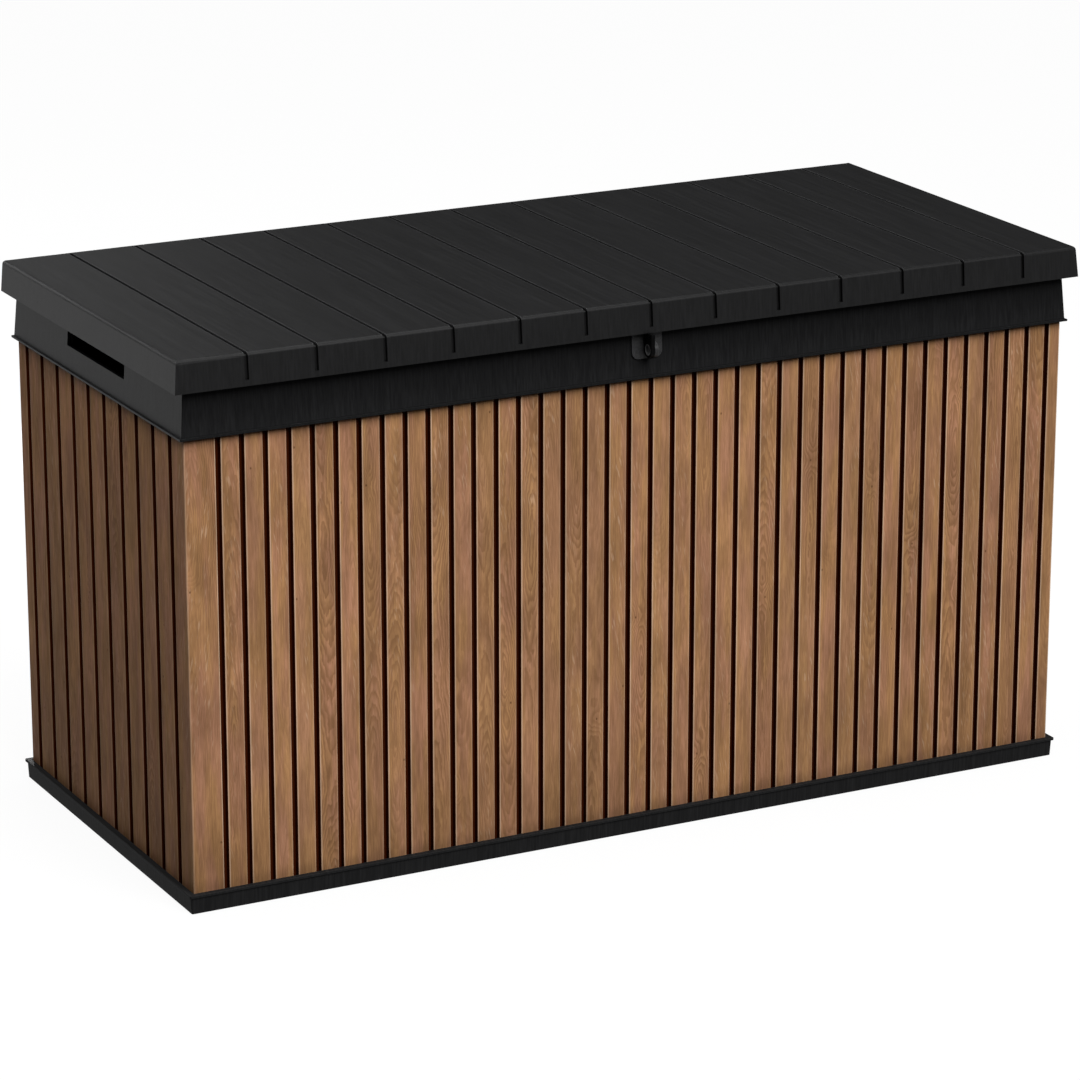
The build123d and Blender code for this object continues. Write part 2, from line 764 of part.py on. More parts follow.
# Lid liner: flat underside with shallow trays, walls and ribs up to the shell
beam_height = lid_ceiling - liner_top
beam_rows = [-beam_spread / 2, beam_spread / 2]
beam_length = wood_width - 2 * beam_end_gap
with BuildPart() as lid_liner:
    liner_width = wood_width + 2 * (lid_inner_out - liner_play)
    liner_front = cavity_front + liner_play
    liner_back = cavity_back - liner_play
    liner_middle = (liner_front + liner_back) / 2
    with BuildSketch(Plane.XY.offset(liner_bottom)):
        with Locations((0, liner_middle)):
            Rectangle(liner_width, liner_back - liner_front)
    extrude(amount=liner_thickness)
    with BuildSketch(Plane.XY.offset(liner_top)):
        with Locations((0, liner_middle)):
            Rectangle(liner_width, liner_back - liner_front)
            Rectangle(
                liner_width - 2 * liner_wall,
                liner_back - liner_front - 2 * liner_wall,
                mode=Mode.SUBTRACT,
            )
        rib_offset = beam_depth / 2 + liner_play + liner_rib / 2
        for row in beam_rows:
            with Locations((0, row - rib_offset), (0, row + rib_offset)):
                Rectangle(beam_length, liner_rib)
    extrude(amount=lid_ceiling - liner_top)
    tray_width = (wood_width - 2 * tray_margin) / trays_wide
    tray_depth = (wood_depth - 2 * tray_margin) / trays_deep
    with BuildSketch(Plane.XY.offset(liner_bottom)):
        with GridLocations(tray_width, tray_depth, trays_wide, trays_deep):
            RectangleRounded(tray_width - tray_rib, tray_depth - tray_rib, tray_corner)
    extrude(amount=tray_recess, mode=Mode.SUBTRACT)
    screw_holes(liner_screws)
save(lid_liner, "lid_liner")
save_screws(liner_screws, "lid_liner_screws")

# Stiffening beams: steel tubes between the liner's ribs
for name, row in (("lid_beam_front", beam_rows[0]), ("lid_beam_back", beam_rows[1])):
    with BuildPart() as beam:
        with BuildSketch(Plane.YZ.offset(-beam_length / 2)):
            with Locations((row, (liner_top + lid_ceiling) / 2)):
                Rectangle(beam_depth, beam_height)
                Rectangle(beam_depth - 2 * beam_wall, beam_height - 2 * beam_wall, mode=Mode.SUBTRACT)
        extrude(amount=beam_length)
    save(beam, name)

# Rubber bumpers under the liner, over the rim
bumper_in = (rail_head_in + wall + rail_inner_skin) / 2
bumper_x = (half_w - bumper_in, (half_w - bumper_in) / 3)
with BuildPart() as lid_bumpers:
    with BuildSketch(Plane.XY.offset(liner_bottom)):
        for x in bumper_x:
            for end in (-1, 1):
                with Locations((x, end * (half_d - bumper_in)), (-x, end * (half_d - bumper_in))):
                    Circle(bumper_radius)
    extrude(amount=-bumper_height)
save(lid_bumpers, "lid_bumpers")
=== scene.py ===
"""Dresses the deck storage box: wood slats on four walls, a black collar and plinth, and a planked lid.

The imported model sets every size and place. The wood is rebuilt here slat by slat, so that each one carries
its own grain, and so are the screws, with their cross recesses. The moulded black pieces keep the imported
solids, with softened edges, and small stops close the lid's grooves at the back. Every piece gets a finish
made of shader nodes. Lengths are in metres.
"""

import json
import logging
import math
import random
from collections.abc import Iterable
from dataclasses import dataclass
from enum import Enum

import bmesh
import bpy
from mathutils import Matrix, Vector


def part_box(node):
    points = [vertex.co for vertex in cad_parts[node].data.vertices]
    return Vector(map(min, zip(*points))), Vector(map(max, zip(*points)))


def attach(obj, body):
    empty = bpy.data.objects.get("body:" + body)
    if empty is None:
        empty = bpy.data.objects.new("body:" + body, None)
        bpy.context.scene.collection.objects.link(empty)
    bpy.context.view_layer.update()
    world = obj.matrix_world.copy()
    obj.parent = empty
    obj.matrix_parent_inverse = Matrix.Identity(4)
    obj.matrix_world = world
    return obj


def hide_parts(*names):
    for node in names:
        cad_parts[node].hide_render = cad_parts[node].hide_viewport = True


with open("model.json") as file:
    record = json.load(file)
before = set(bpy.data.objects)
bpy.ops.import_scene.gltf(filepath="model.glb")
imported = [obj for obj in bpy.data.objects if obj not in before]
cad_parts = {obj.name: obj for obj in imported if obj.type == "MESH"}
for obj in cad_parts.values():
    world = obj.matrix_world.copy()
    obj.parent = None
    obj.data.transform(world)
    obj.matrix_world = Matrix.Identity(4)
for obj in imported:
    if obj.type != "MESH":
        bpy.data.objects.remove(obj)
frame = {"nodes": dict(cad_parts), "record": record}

LOG = logging.getLogger("deck_box")
BOX_BODY = "box"
LID_BODY = "lid"
BOARD_SEED = 79
GRAIN_PLACE = "grain_place"
BOARD_DEPTH = "board_depth"
FLOAT = "NodeSocketFloat"
VECTOR = "NodeSocketVector"

Socket = bpy.types.NodeSocket
Fed = Socket | float | tuple
Triple = tuple[float, float, float]
Colour = Triple
Pair = tuple[float, float]

QUARTER_TURN = math.pi / 2.0
MILLIMETRES = 1000.0
SOLID_BLEND = 1.0
# The angle in degrees from which an edge stays sharp.
CREASE = 40.0
# How far from a board's edge its face carries a painted highlight.
EDGE_HIGHLIGHT_REACH = 0.0006
# Points closer than this are one point.
JOIN_REACH = 1e-6
# A height closer than this to a piece's top reaches the top.
LEVEL_REACH = 1e-4
# A face whose normal has at least this share along an axis is square to it.
SQUARE_ON = 0.99
# The digits that places are rounded to before they are compared or put in order.
PLACE_DIGITS = 4
ORDER_DIGITS = 5
# The range that most values of a noise lie in.
NOISE_RANGE = (0.3, 0.7)
# The numbers of the Mix node's sockets for colours.
MIX_BELOW, MIX_ABOVE, MIX_RESULT = 6, 7, 2


def rgba(colour: Colour, factor: float = 1.0) -> tuple[float, ...]:
    """Gives a colour its fourth channel, after making it lighter or darker by a factor."""
    return (*(part * factor for part in colour), SOLID_BLEND)


class Facing(Enum):
    """The side of the box that a wall looks to, as its outward and its across direction."""

    FRONT = ((0.0, -1.0, 0.0), (1.0, 0.0, 0.0))
    BACK = ((0.0, 1.0, 0.0), (-1.0, 0.0, 0.0))
    LEFT = ((-1.0, 0.0, 0.0), (0.0, -1.0, 0.0))
    RIGHT = ((1.0, 0.0, 0.0), (0.0, 1.0, 0.0))

    @property
    def out(self) -> Vector:
        """The direction that points away from the box."""
        return Vector(self.value[0])

    @property
    def across(self) -> Vector:
        """The direction from left to right for someone who faces the wall."""
        return Vector(self.value[1])


class GrainRun(Enum):
    """How the moulded grain of a black piece runs."""

    UPRIGHT = "upright"
    EVEN = "even"


class Wiring:
    """Adds shader nodes to one tree and joins their sockets."""

    def __init__(self, tree: bpy.types.NodeTree) -> None:
        """Keeps the tree that the nodes go into."""
        self.tree = tree

    @classmethod
    def fresh(cls, owner: bpy.types.Material | bpy.types.World) -> "Wiring":
        """Empties the node tree of a material or a world and starts its wiring."""
        owner.use_nodes = True
        owner.node_tree.nodes.clear()
        return cls(owner.node_tree)

    def node(self, kind: str, **settings: object) -> bpy.types.Node:
        """Adds one node.

        Args:
            kind: Blender's name for the node's type.
            settings: properties to set on the new node.

        Returns:
            The new node.
        """
        made = self.tree.nodes.new(kind)
        for name, value in settings.items():
            setattr(made, name, value)
        return made

    def feed(self, socket: Socket, value: Fed) -> None:
        """Links a socket to another one, or sets its plain value."""
        if isinstance(value, Socket):
            self.tree.links.new(value, socket)
        else:
            socket.default_value = value

    def fill(self, node: bpy.types.Node, values: dict[str | int, Fed]) -> bpy.types.Node:
        """Feeds inputs of a node.

        Args:
            node: the node.
            values: what to feed, by the name or the number of the input.

        Returns:
            The same node.
        """
        for key, value in values.items():
            self.feed(node.inputs[key], value)
        return node

    def math(self, operation: str, first: Fed, second: Fed = 0.0) -> Socket:
        """Works out one sum of two values.

        Args:
            operation: Blender's name for the sum, such as MULTIPLY.
            first: the first value or socket.
            second: the second value or socket.

        Returns:
            The socket that holds the result.
        """
        return self.fill(self.node("ShaderNodeMath", operation=operation), {0: first, 1: second}).outputs[0]

    def times(self, first: Fed, second: Fed) -> Socket:
        """Multiplies two values."""
        return self.math("MULTIPLY", first, second)

    def plus(self, first: Fed, second: Fed) -> Socket:
        """Adds two values."""
        return self.math("ADD", first, second)

    def minus(self, first: Fed, second: Fed) -> Socket:
        """Takes the second value from the first."""
        return self.math("SUBTRACT", first, second)

    def place(self, x: Fed, y: Fed, z: Fed) -> Socket:
        """Joins three values into one vector."""
        return self.fill(self.node("ShaderNodeCombineXYZ"), {0: x, 1: y, 2: z}).outputs[0]

    def parts(self, vector: Fed) -> tuple[Socket, ...]:
        """Splits a vector into its three values."""
        return tuple(self.fill(self.node("ShaderNodeSeparateXYZ"), {0: vector}).outputs)

    def spot(self) -> tuple[Socket, ...]:
        """Gives the three values of the place on the piece."""
        return self.parts(self.node("ShaderNodeTexCoord").outputs["Object"])

    def scaled(self, vector: Fed, scale: Fed) -> Socket:
        """Makes a vector longer or shorter."""
        made = self.node("ShaderNodeVectorMath", operation="SCALE")
        return self.fill(made, {0: vector, "Scale": scale}).outputs[0]

    def noise(self, place: Fed, detail: float, roughness: float) -> Socket:
        """Reads a soft noise at a place.

        Args:
            place: the point, already scaled to the noise's own size.
            detail: how many finer layers are added.
            roughness: how strong the finer layers are.

        Returns:
            The socket of the noise value, which is about 0.5 on average.
        """
        made = self.node("ShaderNodeTexNoise", noise_dimensions="3D")
        values = {"Vector": place, "Scale": 1.0, "Detail": detail, "Roughness": roughness}
        return self.fill(made, values).outputs["Fac"]

    def length(self, first: Fed, second: Fed) -> Socket:
        """Gives the straight length of two square legs."""
        return self.math("SQRT", self.plus(*[self.times(leg, leg) for leg in (first, second)]))

    def span(self, value: Fed, low: float, high: float, start: Fed = 0.0, end: Fed = 1.0) -> Socket:
        """Eases a value from one range into another.

        Args:
            value: the value or socket to read.
            low: the value that gives start.
            high: the value that gives end.
            start: the result at and below low.
            end: the result at and above high.

        Returns:
            The socket that holds the eased value.
        """
        made = self.node("ShaderNodeMapRange", interpolation_type="SMOOTHSTEP")
        return self.fill(made, dict(enumerate((value, low, high, start, end)))).outputs[0]

    def mix(self, share: Fed, first: Fed, second: Fed, mode: str = "MIX") -> Socket:
        """Mixes two colours.

        Args:
            share: how much of the second colour shows.
            first: the colour below.
            second: the colour above.
            mode: Blender's name for the blend.

        Returns:
            The socket of the mixed colour.
        """
        made = self.node("ShaderNodeMix", data_type="RGBA", blend_type=mode)
        return self.fill(made, {0: share, MIX_BELOW: first, MIX_ABOVE: second}).outputs[MIX_RESULT]

    def blend(self, share: Fed, first: bpy.types.Node, second: bpy.types.Node) -> bpy.types.Node:
        """Mixes two shaders.

        Args:
            share: how much of the second shader shows.
            first: the node of the shader below.
            second: the node of the shader above.

        Returns:
            The node of the mixed shader.
        """
        made = self.node("ShaderNodeMixShader")
        return self.fill(made, {0: share, 1: first.outputs[0], 2: second.outputs[0]})

    def group(self, tree: bpy.types.NodeTree, **values: Fed) -> dict[str, Socket]:
        """Places a node group.

        Args:
            tree: the group.
            values: what to feed its inputs, by name.

        Returns:
            The group's outputs by name.
        """
        made = self.fill(self.node("ShaderNodeGroup", node_tree=tree), values)
        return {socket.name: socket for socket in made.outputs}

    def bump(self, height: Fed, strength: float, distance: float) -> Socket:
        """Turns a height into a bumped normal.

        Args:
            height: the height value or socket.
            strength: how much of the bump shows.
            distance: the height in metres of a full step.

        Returns:
            The socket of the normal.
        """
        values = {"Strength": strength, "Distance": distance, "Height": height}
        return self.fill(self.node("ShaderNodeBump"), values).outputs["Normal"]


class Effect:
    """A shader node group that finishes use and that is built once."""

    name: str = ""
    inputs: dict[str, str] = {}
    outputs: dict[str, str] = {}

    @classmethod
    def tree(cls) -> bpy.types.NodeTree:
        """Gives the group, which the first call builds."""
        found = bpy.data.node_groups.get(cls.name)
        if found:
            return found
        tree = bpy.data.node_groups.new(cls.name, "ShaderNodeTree")
        for way, sockets in (("INPUT", cls.inputs), ("OUTPUT", cls.outputs)):
            for name, kind in sockets.items():
                tree.interface.new_socket(name=name, in_out=way, socket_type=kind)
        wiring = Wiring(tree)
        given = {socket.name: socket for socket in wiring.node("NodeGroupInput").outputs if socket.name}
        ends = wiring.node("NodeGroupOutput")
        wiring.fill(ends, cls.wire(wiring, given))
        return tree

    @classmethod
    def wire(cls, wiring: Wiring, given: dict[str, Socket]) -> dict[str, Fed]:
        """Builds the nodes of the group.

        Args:
            wiring: the group's wiring.
            given: the group's inputs by name.

        Returns:
            What feeds each output, by name.
        """
        raise NotImplementedError


class MouldedGrain(Effect):
    """Fine streaks pressed into a black piece: upright on its sides, front to back on its top."""

    name = "moulded grain"
    inputs = dict.fromkeys(("Across", "Along", "Grit"), FLOAT)
    outputs = dict.fromkeys(("Streak", "Patch", "Speck"), FLOAT)
    level_range = (0.55, 0.8)
    patch_scale = 0.23

    @classmethod
    def wire(cls, wiring: Wiring, given: dict[str, Socket]) -> dict[str, Fed]:
        """Builds the streaks, a slow patchiness and a fine grit; see Effect.wire."""
        place = wiring.node("ShaderNodeTexCoord")
        x, y, z = wiring.parts(place.outputs["Object"])
        steep = wiring.math("ABSOLUTE", wiring.parts(place.outputs["Normal"])[2])
        fine, long = given["Across"], given["Along"]
        change = wiring.times(wiring.minus(long, fine), wiring.span(steep, *cls.level_range))
        deep, tall = wiring.plus(fine, change), wiring.minus(long, change)
        spot = wiring.place(wiring.times(x, fine), wiring.times(y, deep), wiring.times(z, tall))
        return {
            "Streak": wiring.noise(spot, 3.0, 0.62),
            "Patch": wiring.noise(wiring.scaled(spot, cls.patch_scale), 2.0, 0.5),
            "Speck": wiring.noise(wiring.scaled(place.outputs["Object"], given["Grit"]), 1.0, 0.6),
        }


class EdgeWearAndHighlight(Effect):
    """A mask that is 1 along the outer edges of a piece: resins take a painted highlight or painted shade
    there, metals take wear.
    """

    name = "edge wear and highlight"
    inputs = {"Reach": FLOAT}
    outputs = {"Edge": FLOAT}
    samples = 4
    agree_range = (0.99, 0.84)

    @classmethod
    def wire(cls, wiring: Wiring, given: dict[str, Socket]) -> dict[str, Fed]:
        """Compares the true normal with one that is rounded over the reach; see Effect.wire."""
        rounded = wiring.node("ShaderNodeBevel", samples=cls.samples)
        wiring.fill(rounded, {"Radius": given["Reach"]})
        normals = [node.outputs["Normal"] for node in (rounded, wiring.node("ShaderNodeNewGeometry"))]
        agree = wiring.node("ShaderNodeVectorMath", operation="DOT_PRODUCT")
        wiring.fill(agree, dict(enumerate(normals)))
        return {"Edge": wiring.span(agree.outputs["Value"], *cls.agree_range)}


@dataclass(frozen=True)
class NoiseLayer:
    """One noise of the wood figure: the scales of the three values that it is read at, and its fineness."""

    scales: Triple
    detail: float = 1.0
    roughness: float = 0.5

    def read(self, wiring: Wiring, *values: Fed) -> Socket:
        """Reads the noise at three values, each taken times its scale."""
        scaled = [wiring.times(value, scale) for value, scale in zip(values, self.scales)]
        return wiring.noise(wiring.place(*scaled), self.detail, self.roughness)


class WoodFigure(Effect):
    """The figure of a board: arched year rings, fibre, drifting hue and tone, ray flecks and small knots.

    Place is a point on the board: across it, along it, and a number that belongs to that board alone.
    """

    name = "wood figure"
    inputs = {"Place": VECTOR}
    outputs = dict.fromkeys(("Ring", "Fibre", "Drift", "Tone", "Bold", "Fleck", "Knot"), FLOAT)
    fibres = (
        (NoiseLayer((1150.0, 60.0, 170.0), 3.0, 0.6), 0.22),
        (NoiseLayer((430.0, 26.0, 170.0), 3.0, 0.6), 0.52),
        (NoiseLayer((170.0, 6.0, 170.0), 3.0, 0.6), 0.26),
    )
    drift = NoiseLayer((48.0, 6.0, 830.0), 2.0)
    tone = NoiseLayer((42.0, 9.0, 951.0), 3.0, 0.6)
    bold = NoiseLayer((9.0, 1.4, 510.0))
    bold_range = (0.42, 0.62)
    slant = (430.0, 70.0)
    dash = NoiseLayer((1.0, 42.0, 130.0))
    dash_range = (0.6, 0.74)
    patch = NoiseLayer((20.0, 2.2, 77.0))
    patch_range = (0.48, 0.6)
    heart = NoiseLayer((0.9, 470.0, 71.0))
    heart_reach = 0.06
    bow = NoiseLayer((1.7, 610.0, 3.0))
    bow_reach = 0.16
    wander = NoiseLayer((32.0, 5.5, 400.0), 2.0)
    wander_reach = 0.011
    curl = NoiseLayer((130.0, 46.0, 520.0), 2.0, 0.55)
    curl_reach = 0.0042
    ring_gap = 0.0028
    late_range = (0.1, 0.82)
    stop_range = (0.84, 1.0)
    knot_cell = (0.055, 0.59)
    knot_steps = (37.0, 61.0)
    knot_squash = 0.7
    knot_range = (0.0005, 0.002)
    knot_share = 0.9
    bend = 0.007
    bend_reach = 0.022
    noise_middle = 0.5

    @classmethod
    def wire(cls, wiring: Wiring, given: dict[str, Socket]) -> dict[str, Fed]:
        """Builds the layers of the figure; see Effect.wire."""
        u, v, own = place = wiring.parts(given["Place"])
        knot_distance = cls._knot_distance(wiring, place)
        bend = wiring.span(knot_distance, 0.0, cls.bend_reach, cls.bend, 0.0)
        fibre: Fed = 0.0
        for layer, share in cls.fibres:
            fibre = wiring.plus(fibre, wiring.times(layer.read(wiring, *place), share))
        slant = wiring.plus(wiring.times(u, cls.slant[0]), wiring.times(v, cls.slant[1]))
        dash = wiring.span(cls.dash.read(wiring, slant, v, own), *cls.dash_range)
        patch = wiring.span(cls.patch.read(wiring, *place), *cls.patch_range)
        return {
            "Ring": cls._rings(wiring, place, bend),
            "Fibre": fibre,
            "Drift": cls.drift.read(wiring, *place),
            "Tone": cls.tone.read(wiring, *place),
            "Bold": wiring.span(cls.bold.read(wiring, *place), *cls.bold_range),
            "Fleck": wiring.times(dash, patch),
            "Knot": wiring.span(knot_distance, *cls.knot_range, cls.knot_share, 0.0),
        }

    @classmethod
    def _knot_distance(cls, wiring: Wiring, place: tuple[Socket, ...]) -> Socket:
        """Gives the distance in metres to the nearest knot, of about one knot on every other board."""
        spots = [
            wiring.plus(wiring.math("DIVIDE", value, cell), wiring.times(place[2], step))
            for value, cell, step in zip(place, cls.knot_cell, cls.knot_steps)
        ]
        cells = wiring.node("ShaderNodeTexVoronoi", voronoi_dimensions="2D", feature="F1")
        wiring.fill(cells, {"Vector": wiring.place(*spots, 0.0), "Scale": 1.0})
        knots = wiring.parts(cells.outputs["Position"])
        across, along = (
            wiring.times(wiring.minus(spot, knot), cell)
            for spot, knot, cell in zip(spots, knots, cls.knot_cell)
        )
        return wiring.length(across, wiring.times(along, cls.knot_squash))

    @classmethod
    def _rings(cls, wiring: Wiring, place: tuple[Socket, ...], bend: Socket) -> Socket:
        """Cuts a board out of a log whose heart wanders, which draws the arches of its year rings.

        Args:
            wiring: the group's wiring.
            place: the three values of the place on the board.
            bend: how far the rings give way to a knot.

        Returns:
            The socket of a value that rises to 1 in the late wood of each year.
        """
        u, v, own = place
        heart, depth = (
            wiring.times(wiring.minus(layer.read(wiring, v, own, own), cls.noise_middle), reach)
            for layer, reach in ((cls.heart, cls.heart_reach), (cls.bow, cls.bow_reach))
        )
        reach = wiring.length(wiring.minus(u, heart), depth)
        for layer, share in ((cls.wander, cls.wander_reach), (cls.curl, cls.curl_reach)):
            reach = wiring.plus(reach, wiring.times(layer.read(wiring, *place), share))
        turn = wiring.math("FRACT", wiring.math("DIVIDE", wiring.plus(reach, bend), cls.ring_gap))
        return wiring.times(wiring.span(turn, *cls.late_range), wiring.span(turn, *cls.stop_range, 1.0, 0.0))


@dataclass(frozen=True)
class Finish:
    """What every finish has: its name, which its material is named after."""

    name: str

    def start(self) -> tuple[bpy.types.Material, Wiring, bpy.types.Node]:
        """Starts a material.

        Returns:
            The material, its wiring and its main shader.
        """
        made = bpy.data.materials.new(f"{self.name}_finish")
        wiring = Wiring.fresh(made)
        shader = wiring.node("ShaderNodeBsdfPrincipled")
        wiring.fill(wiring.node("ShaderNodeOutputMaterial"), {"Surface": shader.outputs["BSDF"]})
        return made, wiring, shader

    def material(self) -> bpy.types.Material:
        """Builds the finish's material."""
        raise NotImplementedError


@dataclass(frozen=True)
class ResinFinish(Finish):
    """Black moulded resin with a pressed grain."""

    colour: Colour
    roughness: float = 0.5
    gloss: float = 0.15
    grain: GrainRun = GrainRun.EVEN
    swing: float = 0.3
    relief: float = 0.00012
    across: float = 330.0
    along: float = 7.0
    grit: float = 1500.0
    # How much lighter the edges are painted: a painted highlight, or painted shade below zero.
    painted_edge_light: float = 0.6
    edge_reach: float = 0.0025
    patch_range: Pair = (0.35, 0.65)
    patch_share: float = 0.35
    rough_swing: float = 0.06
    grit_share: float = 0.5
    bump: float = 0.5

    def material(self) -> bpy.types.Material:
        """Builds the resin: streaked colour, a painted highlight along the edges (painted shade where the
        factor is below zero) and a grain that catches the light.
        """
        made, wiring, shader = self.start()
        along = self.along if self.grain is GrainRun.UPRIGHT else self.across
        grain = wiring.group(MouldedGrain.tree(), Across=self.across, Along=along, Grit=self.grit)
        edge = wiring.group(EdgeWearAndHighlight.tree(), Reach=self.edge_reach)["Edge"]
        dark, light = (rgba(self.colour, 1.0 + swing) for swing in (-self.swing, self.swing))
        colour = wiring.mix(wiring.span(grain["Streak"], *NOISE_RANGE), dark, light)
        patch = wiring.span(grain["Patch"], *self.patch_range, 0.0, self.patch_share)
        colour = wiring.mix(patch, colour, dark)
        # Painted highlight along the edges, or painted shade where the factor is below zero.
        colour = wiring.mix(edge, colour, rgba(self.colour, 1.0 + self.painted_edge_light))
        smooth, rough = self.roughness - self.rough_swing, self.roughness + self.rough_swing
        height = wiring.plus(grain["Streak"], wiring.times(grain["Speck"], self.grit_share))
        values = {
            "Base Color": self.tint(wiring, colour),
            "Roughness": wiring.span(grain["Speck"], *NOISE_RANGE, smooth, rough),
            "Normal": wiring.bump(height, self.bump, self.relief),
            "Specular IOR Level": self.gloss,
        }
        wiring.fill(shader, values)
        return made

    def tint(self, wiring: Wiring, colour: Fed) -> Fed:
        """Gives the colour its last change, which plain resin doesn't need."""
        return colour


@dataclass(frozen=True)
class GrooveRow:
    """The grooves that part the lid into planks: their places across it and how far down they reach."""

    first: float
    last: float
    count: int
    half_width: float
    foot: float
    top: float
    rim: float = 0.0003
    wall: float = 0.0034
    soft: float = 0.0005

    @classmethod
    def of_node(cls, node: str) -> "GrooveRow":
        """Reads the grooves from their walls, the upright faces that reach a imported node's top."""
        mesh = frame["nodes"][node].data
        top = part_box(node)[1].z
        walls: dict[float, list[float]] = {}
        for face in mesh.polygons:
            if abs(face.normal.x) > SQUARE_ON:
                heights = [mesh.vertices[index].co.z for index in face.vertices]
                walls.setdefault(round(face.center.x, PLACE_DIGITS), []).extend(heights)
        edges = sorted(place for place, heights in walls.items() if max(heights) > top - LEVEL_REACH)
        return cls(
            first=(edges[0] + edges[1]) / 2.0,
            last=(edges[-2] + edges[-1]) / 2.0,
            count=len(edges) // 2,
            half_width=(edges[1] - edges[0]) / 2.0,
            foot=min(walls[edges[0]]),
            top=top,
        )

    @property
    def pitch(self) -> float:
        """The way from one groove to the next."""
        return (self.last - self.first) / (self.count - 1)

    @property
    def places(self) -> list[float]:
        """The places of the grooves' middles across the lid."""
        return [self.first + self.pitch * step for step in range(self.count)]

    def masks(self, wiring: Wiring) -> tuple[Socket, Socket]:
        """Finds the grooves.

        Args:
            wiring: the material's wiring.

        Returns:
            A mask that is 1 inside the grooves, and one that rises to 1 at their rims on the lid's top.
        """
        x, _, z = wiring.spot()
        middle, reach = (self.first + self.last) / 2.0, (self.last - self.first + self.pitch) / 2.0
        step = wiring.math("DIVIDE", wiring.minus(x, self.first), self.pitch)
        away = wiring.math("ABSOLUTE", wiring.minus(step, wiring.math("ROUND", step)))
        inside = wiring.math("LESS_THAN", wiring.times(away, self.pitch), self.half_width + self.soft)
        planked = wiring.math("LESS_THAN", wiring.math("ABSOLUTE", wiring.minus(x, middle)), reach)
        above = wiring.math("GREATER_THAN", z, self.foot - self.soft)
        inside = wiring.times(wiring.times(inside, planked), above)
        return inside, wiring.span(z, self.top - self.wall, self.top - self.rim)


@dataclass(frozen=True)
class PlankFinish(ResinFinish):
    """Black resin moulded into planks, with painted shade in the grooves between them and a painted
    highlight along their rims on the top.
    """

    grooves: GrooveRow | None = None
    # How dark the grooves are painted: painted shade.
    groove_shade: float = 0.4
    rim_highlight: Colour = (0.06, 0.06, 0.062)

    def tint(self, wiring: Wiring, colour: Fed) -> Fed:
        """Paints shade into the grooves and a highlight along their rims; see ResinFinish.tint."""
        inside, rim = self.grooves.masks(wiring)
        # Painted shade deep in the grooves, fading to a painted highlight at their rims.
        lining = wiring.mix(rim, rgba(self.colour, self.groove_shade), rgba(self.rim_highlight))
        return wiring.mix(inside, colour, lining)


@dataclass(frozen=True)
class CollarFinish(ResinFinish):
    """Black resin of the collar, with painted light: darker under the lid and paler towards the foot."""

    foot: float = 0.0
    reach: float = 0.05
    # Painted light at the foot and painted shade at the head, as factors on the colour.
    foot_lift: float = 1.38
    head_lift: float = 0.94

    def tint(self, wiring: Wiring, colour: Fed) -> Fed:
        """Paints shade at the head and light towards the foot; see ResinFinish.tint."""
        height = wiring.spot()[2]
        lift = wiring.span(height, self.foot, self.foot + self.reach, self.foot_lift, self.head_lift)
        return wiring.mix(1.0, colour, lift, "MULTIPLY")


@dataclass(frozen=True)
class PanelFinish(ResinFinish):
    """Black resin of the wall panels, whose outer faces, seen in the gaps between boards, take a painted
    dark red brown: light bounced off the wood.
    """

    bounce_tint: Colour = (0.0, 0.0, 0.0)
    half_width: float = 0.0
    half_depth: float = 0.0
    gloss: float = 0.02
    soft: float = 0.0005

    def tint(self, wiring: Wiring, colour: Fed) -> Fed:
        """Paints the bounced light onto the outer faces; see ResinFinish.tint."""
        wide, deep = (
            wiring.math("GREATER_THAN", wiring.math("ABSOLUTE", value), half - self.soft)
            for value, half in zip(wiring.spot(), (self.half_width, self.half_depth))
        )
        # Painted light bounced off the wood, on the outer faces.
        return wiring.mix(wiring.math("MAXIMUM", wide, deep), colour, rgba(self.bounce_tint))


@dataclass(frozen=True)
class EyeFinish(ResinFinish):
    """Black resin of the padlock eye, with a painted highlight in a ring around its hole, where the rim
    catches the light.
    """

    wear_and_highlight: Colour = (0.0, 0.0, 0.0)
    middle: Triple = (0.0, 0.0, 0.0)
    hole: float = 0.0
    ring: float = 0.0018
    soft: float = 0.0006

    def tint(self, wiring: Wiring, colour: Fed) -> Fed:
        """Paints the highlight around the hole; see ResinFinish.tint."""
        legs = [wiring.minus(value, middle) for value, middle in zip(wiring.spot()[1:], self.middle[1:])]
        reach = self.hole + self.ring
        # Painted highlight on the rim of the hole.
        rub_and_highlight = wiring.span(wiring.length(*legs), reach - self.soft, reach, 1.0, 0.0)
        return wiring.mix(rub_and_highlight, colour, rgba(self.wear_and_highlight))


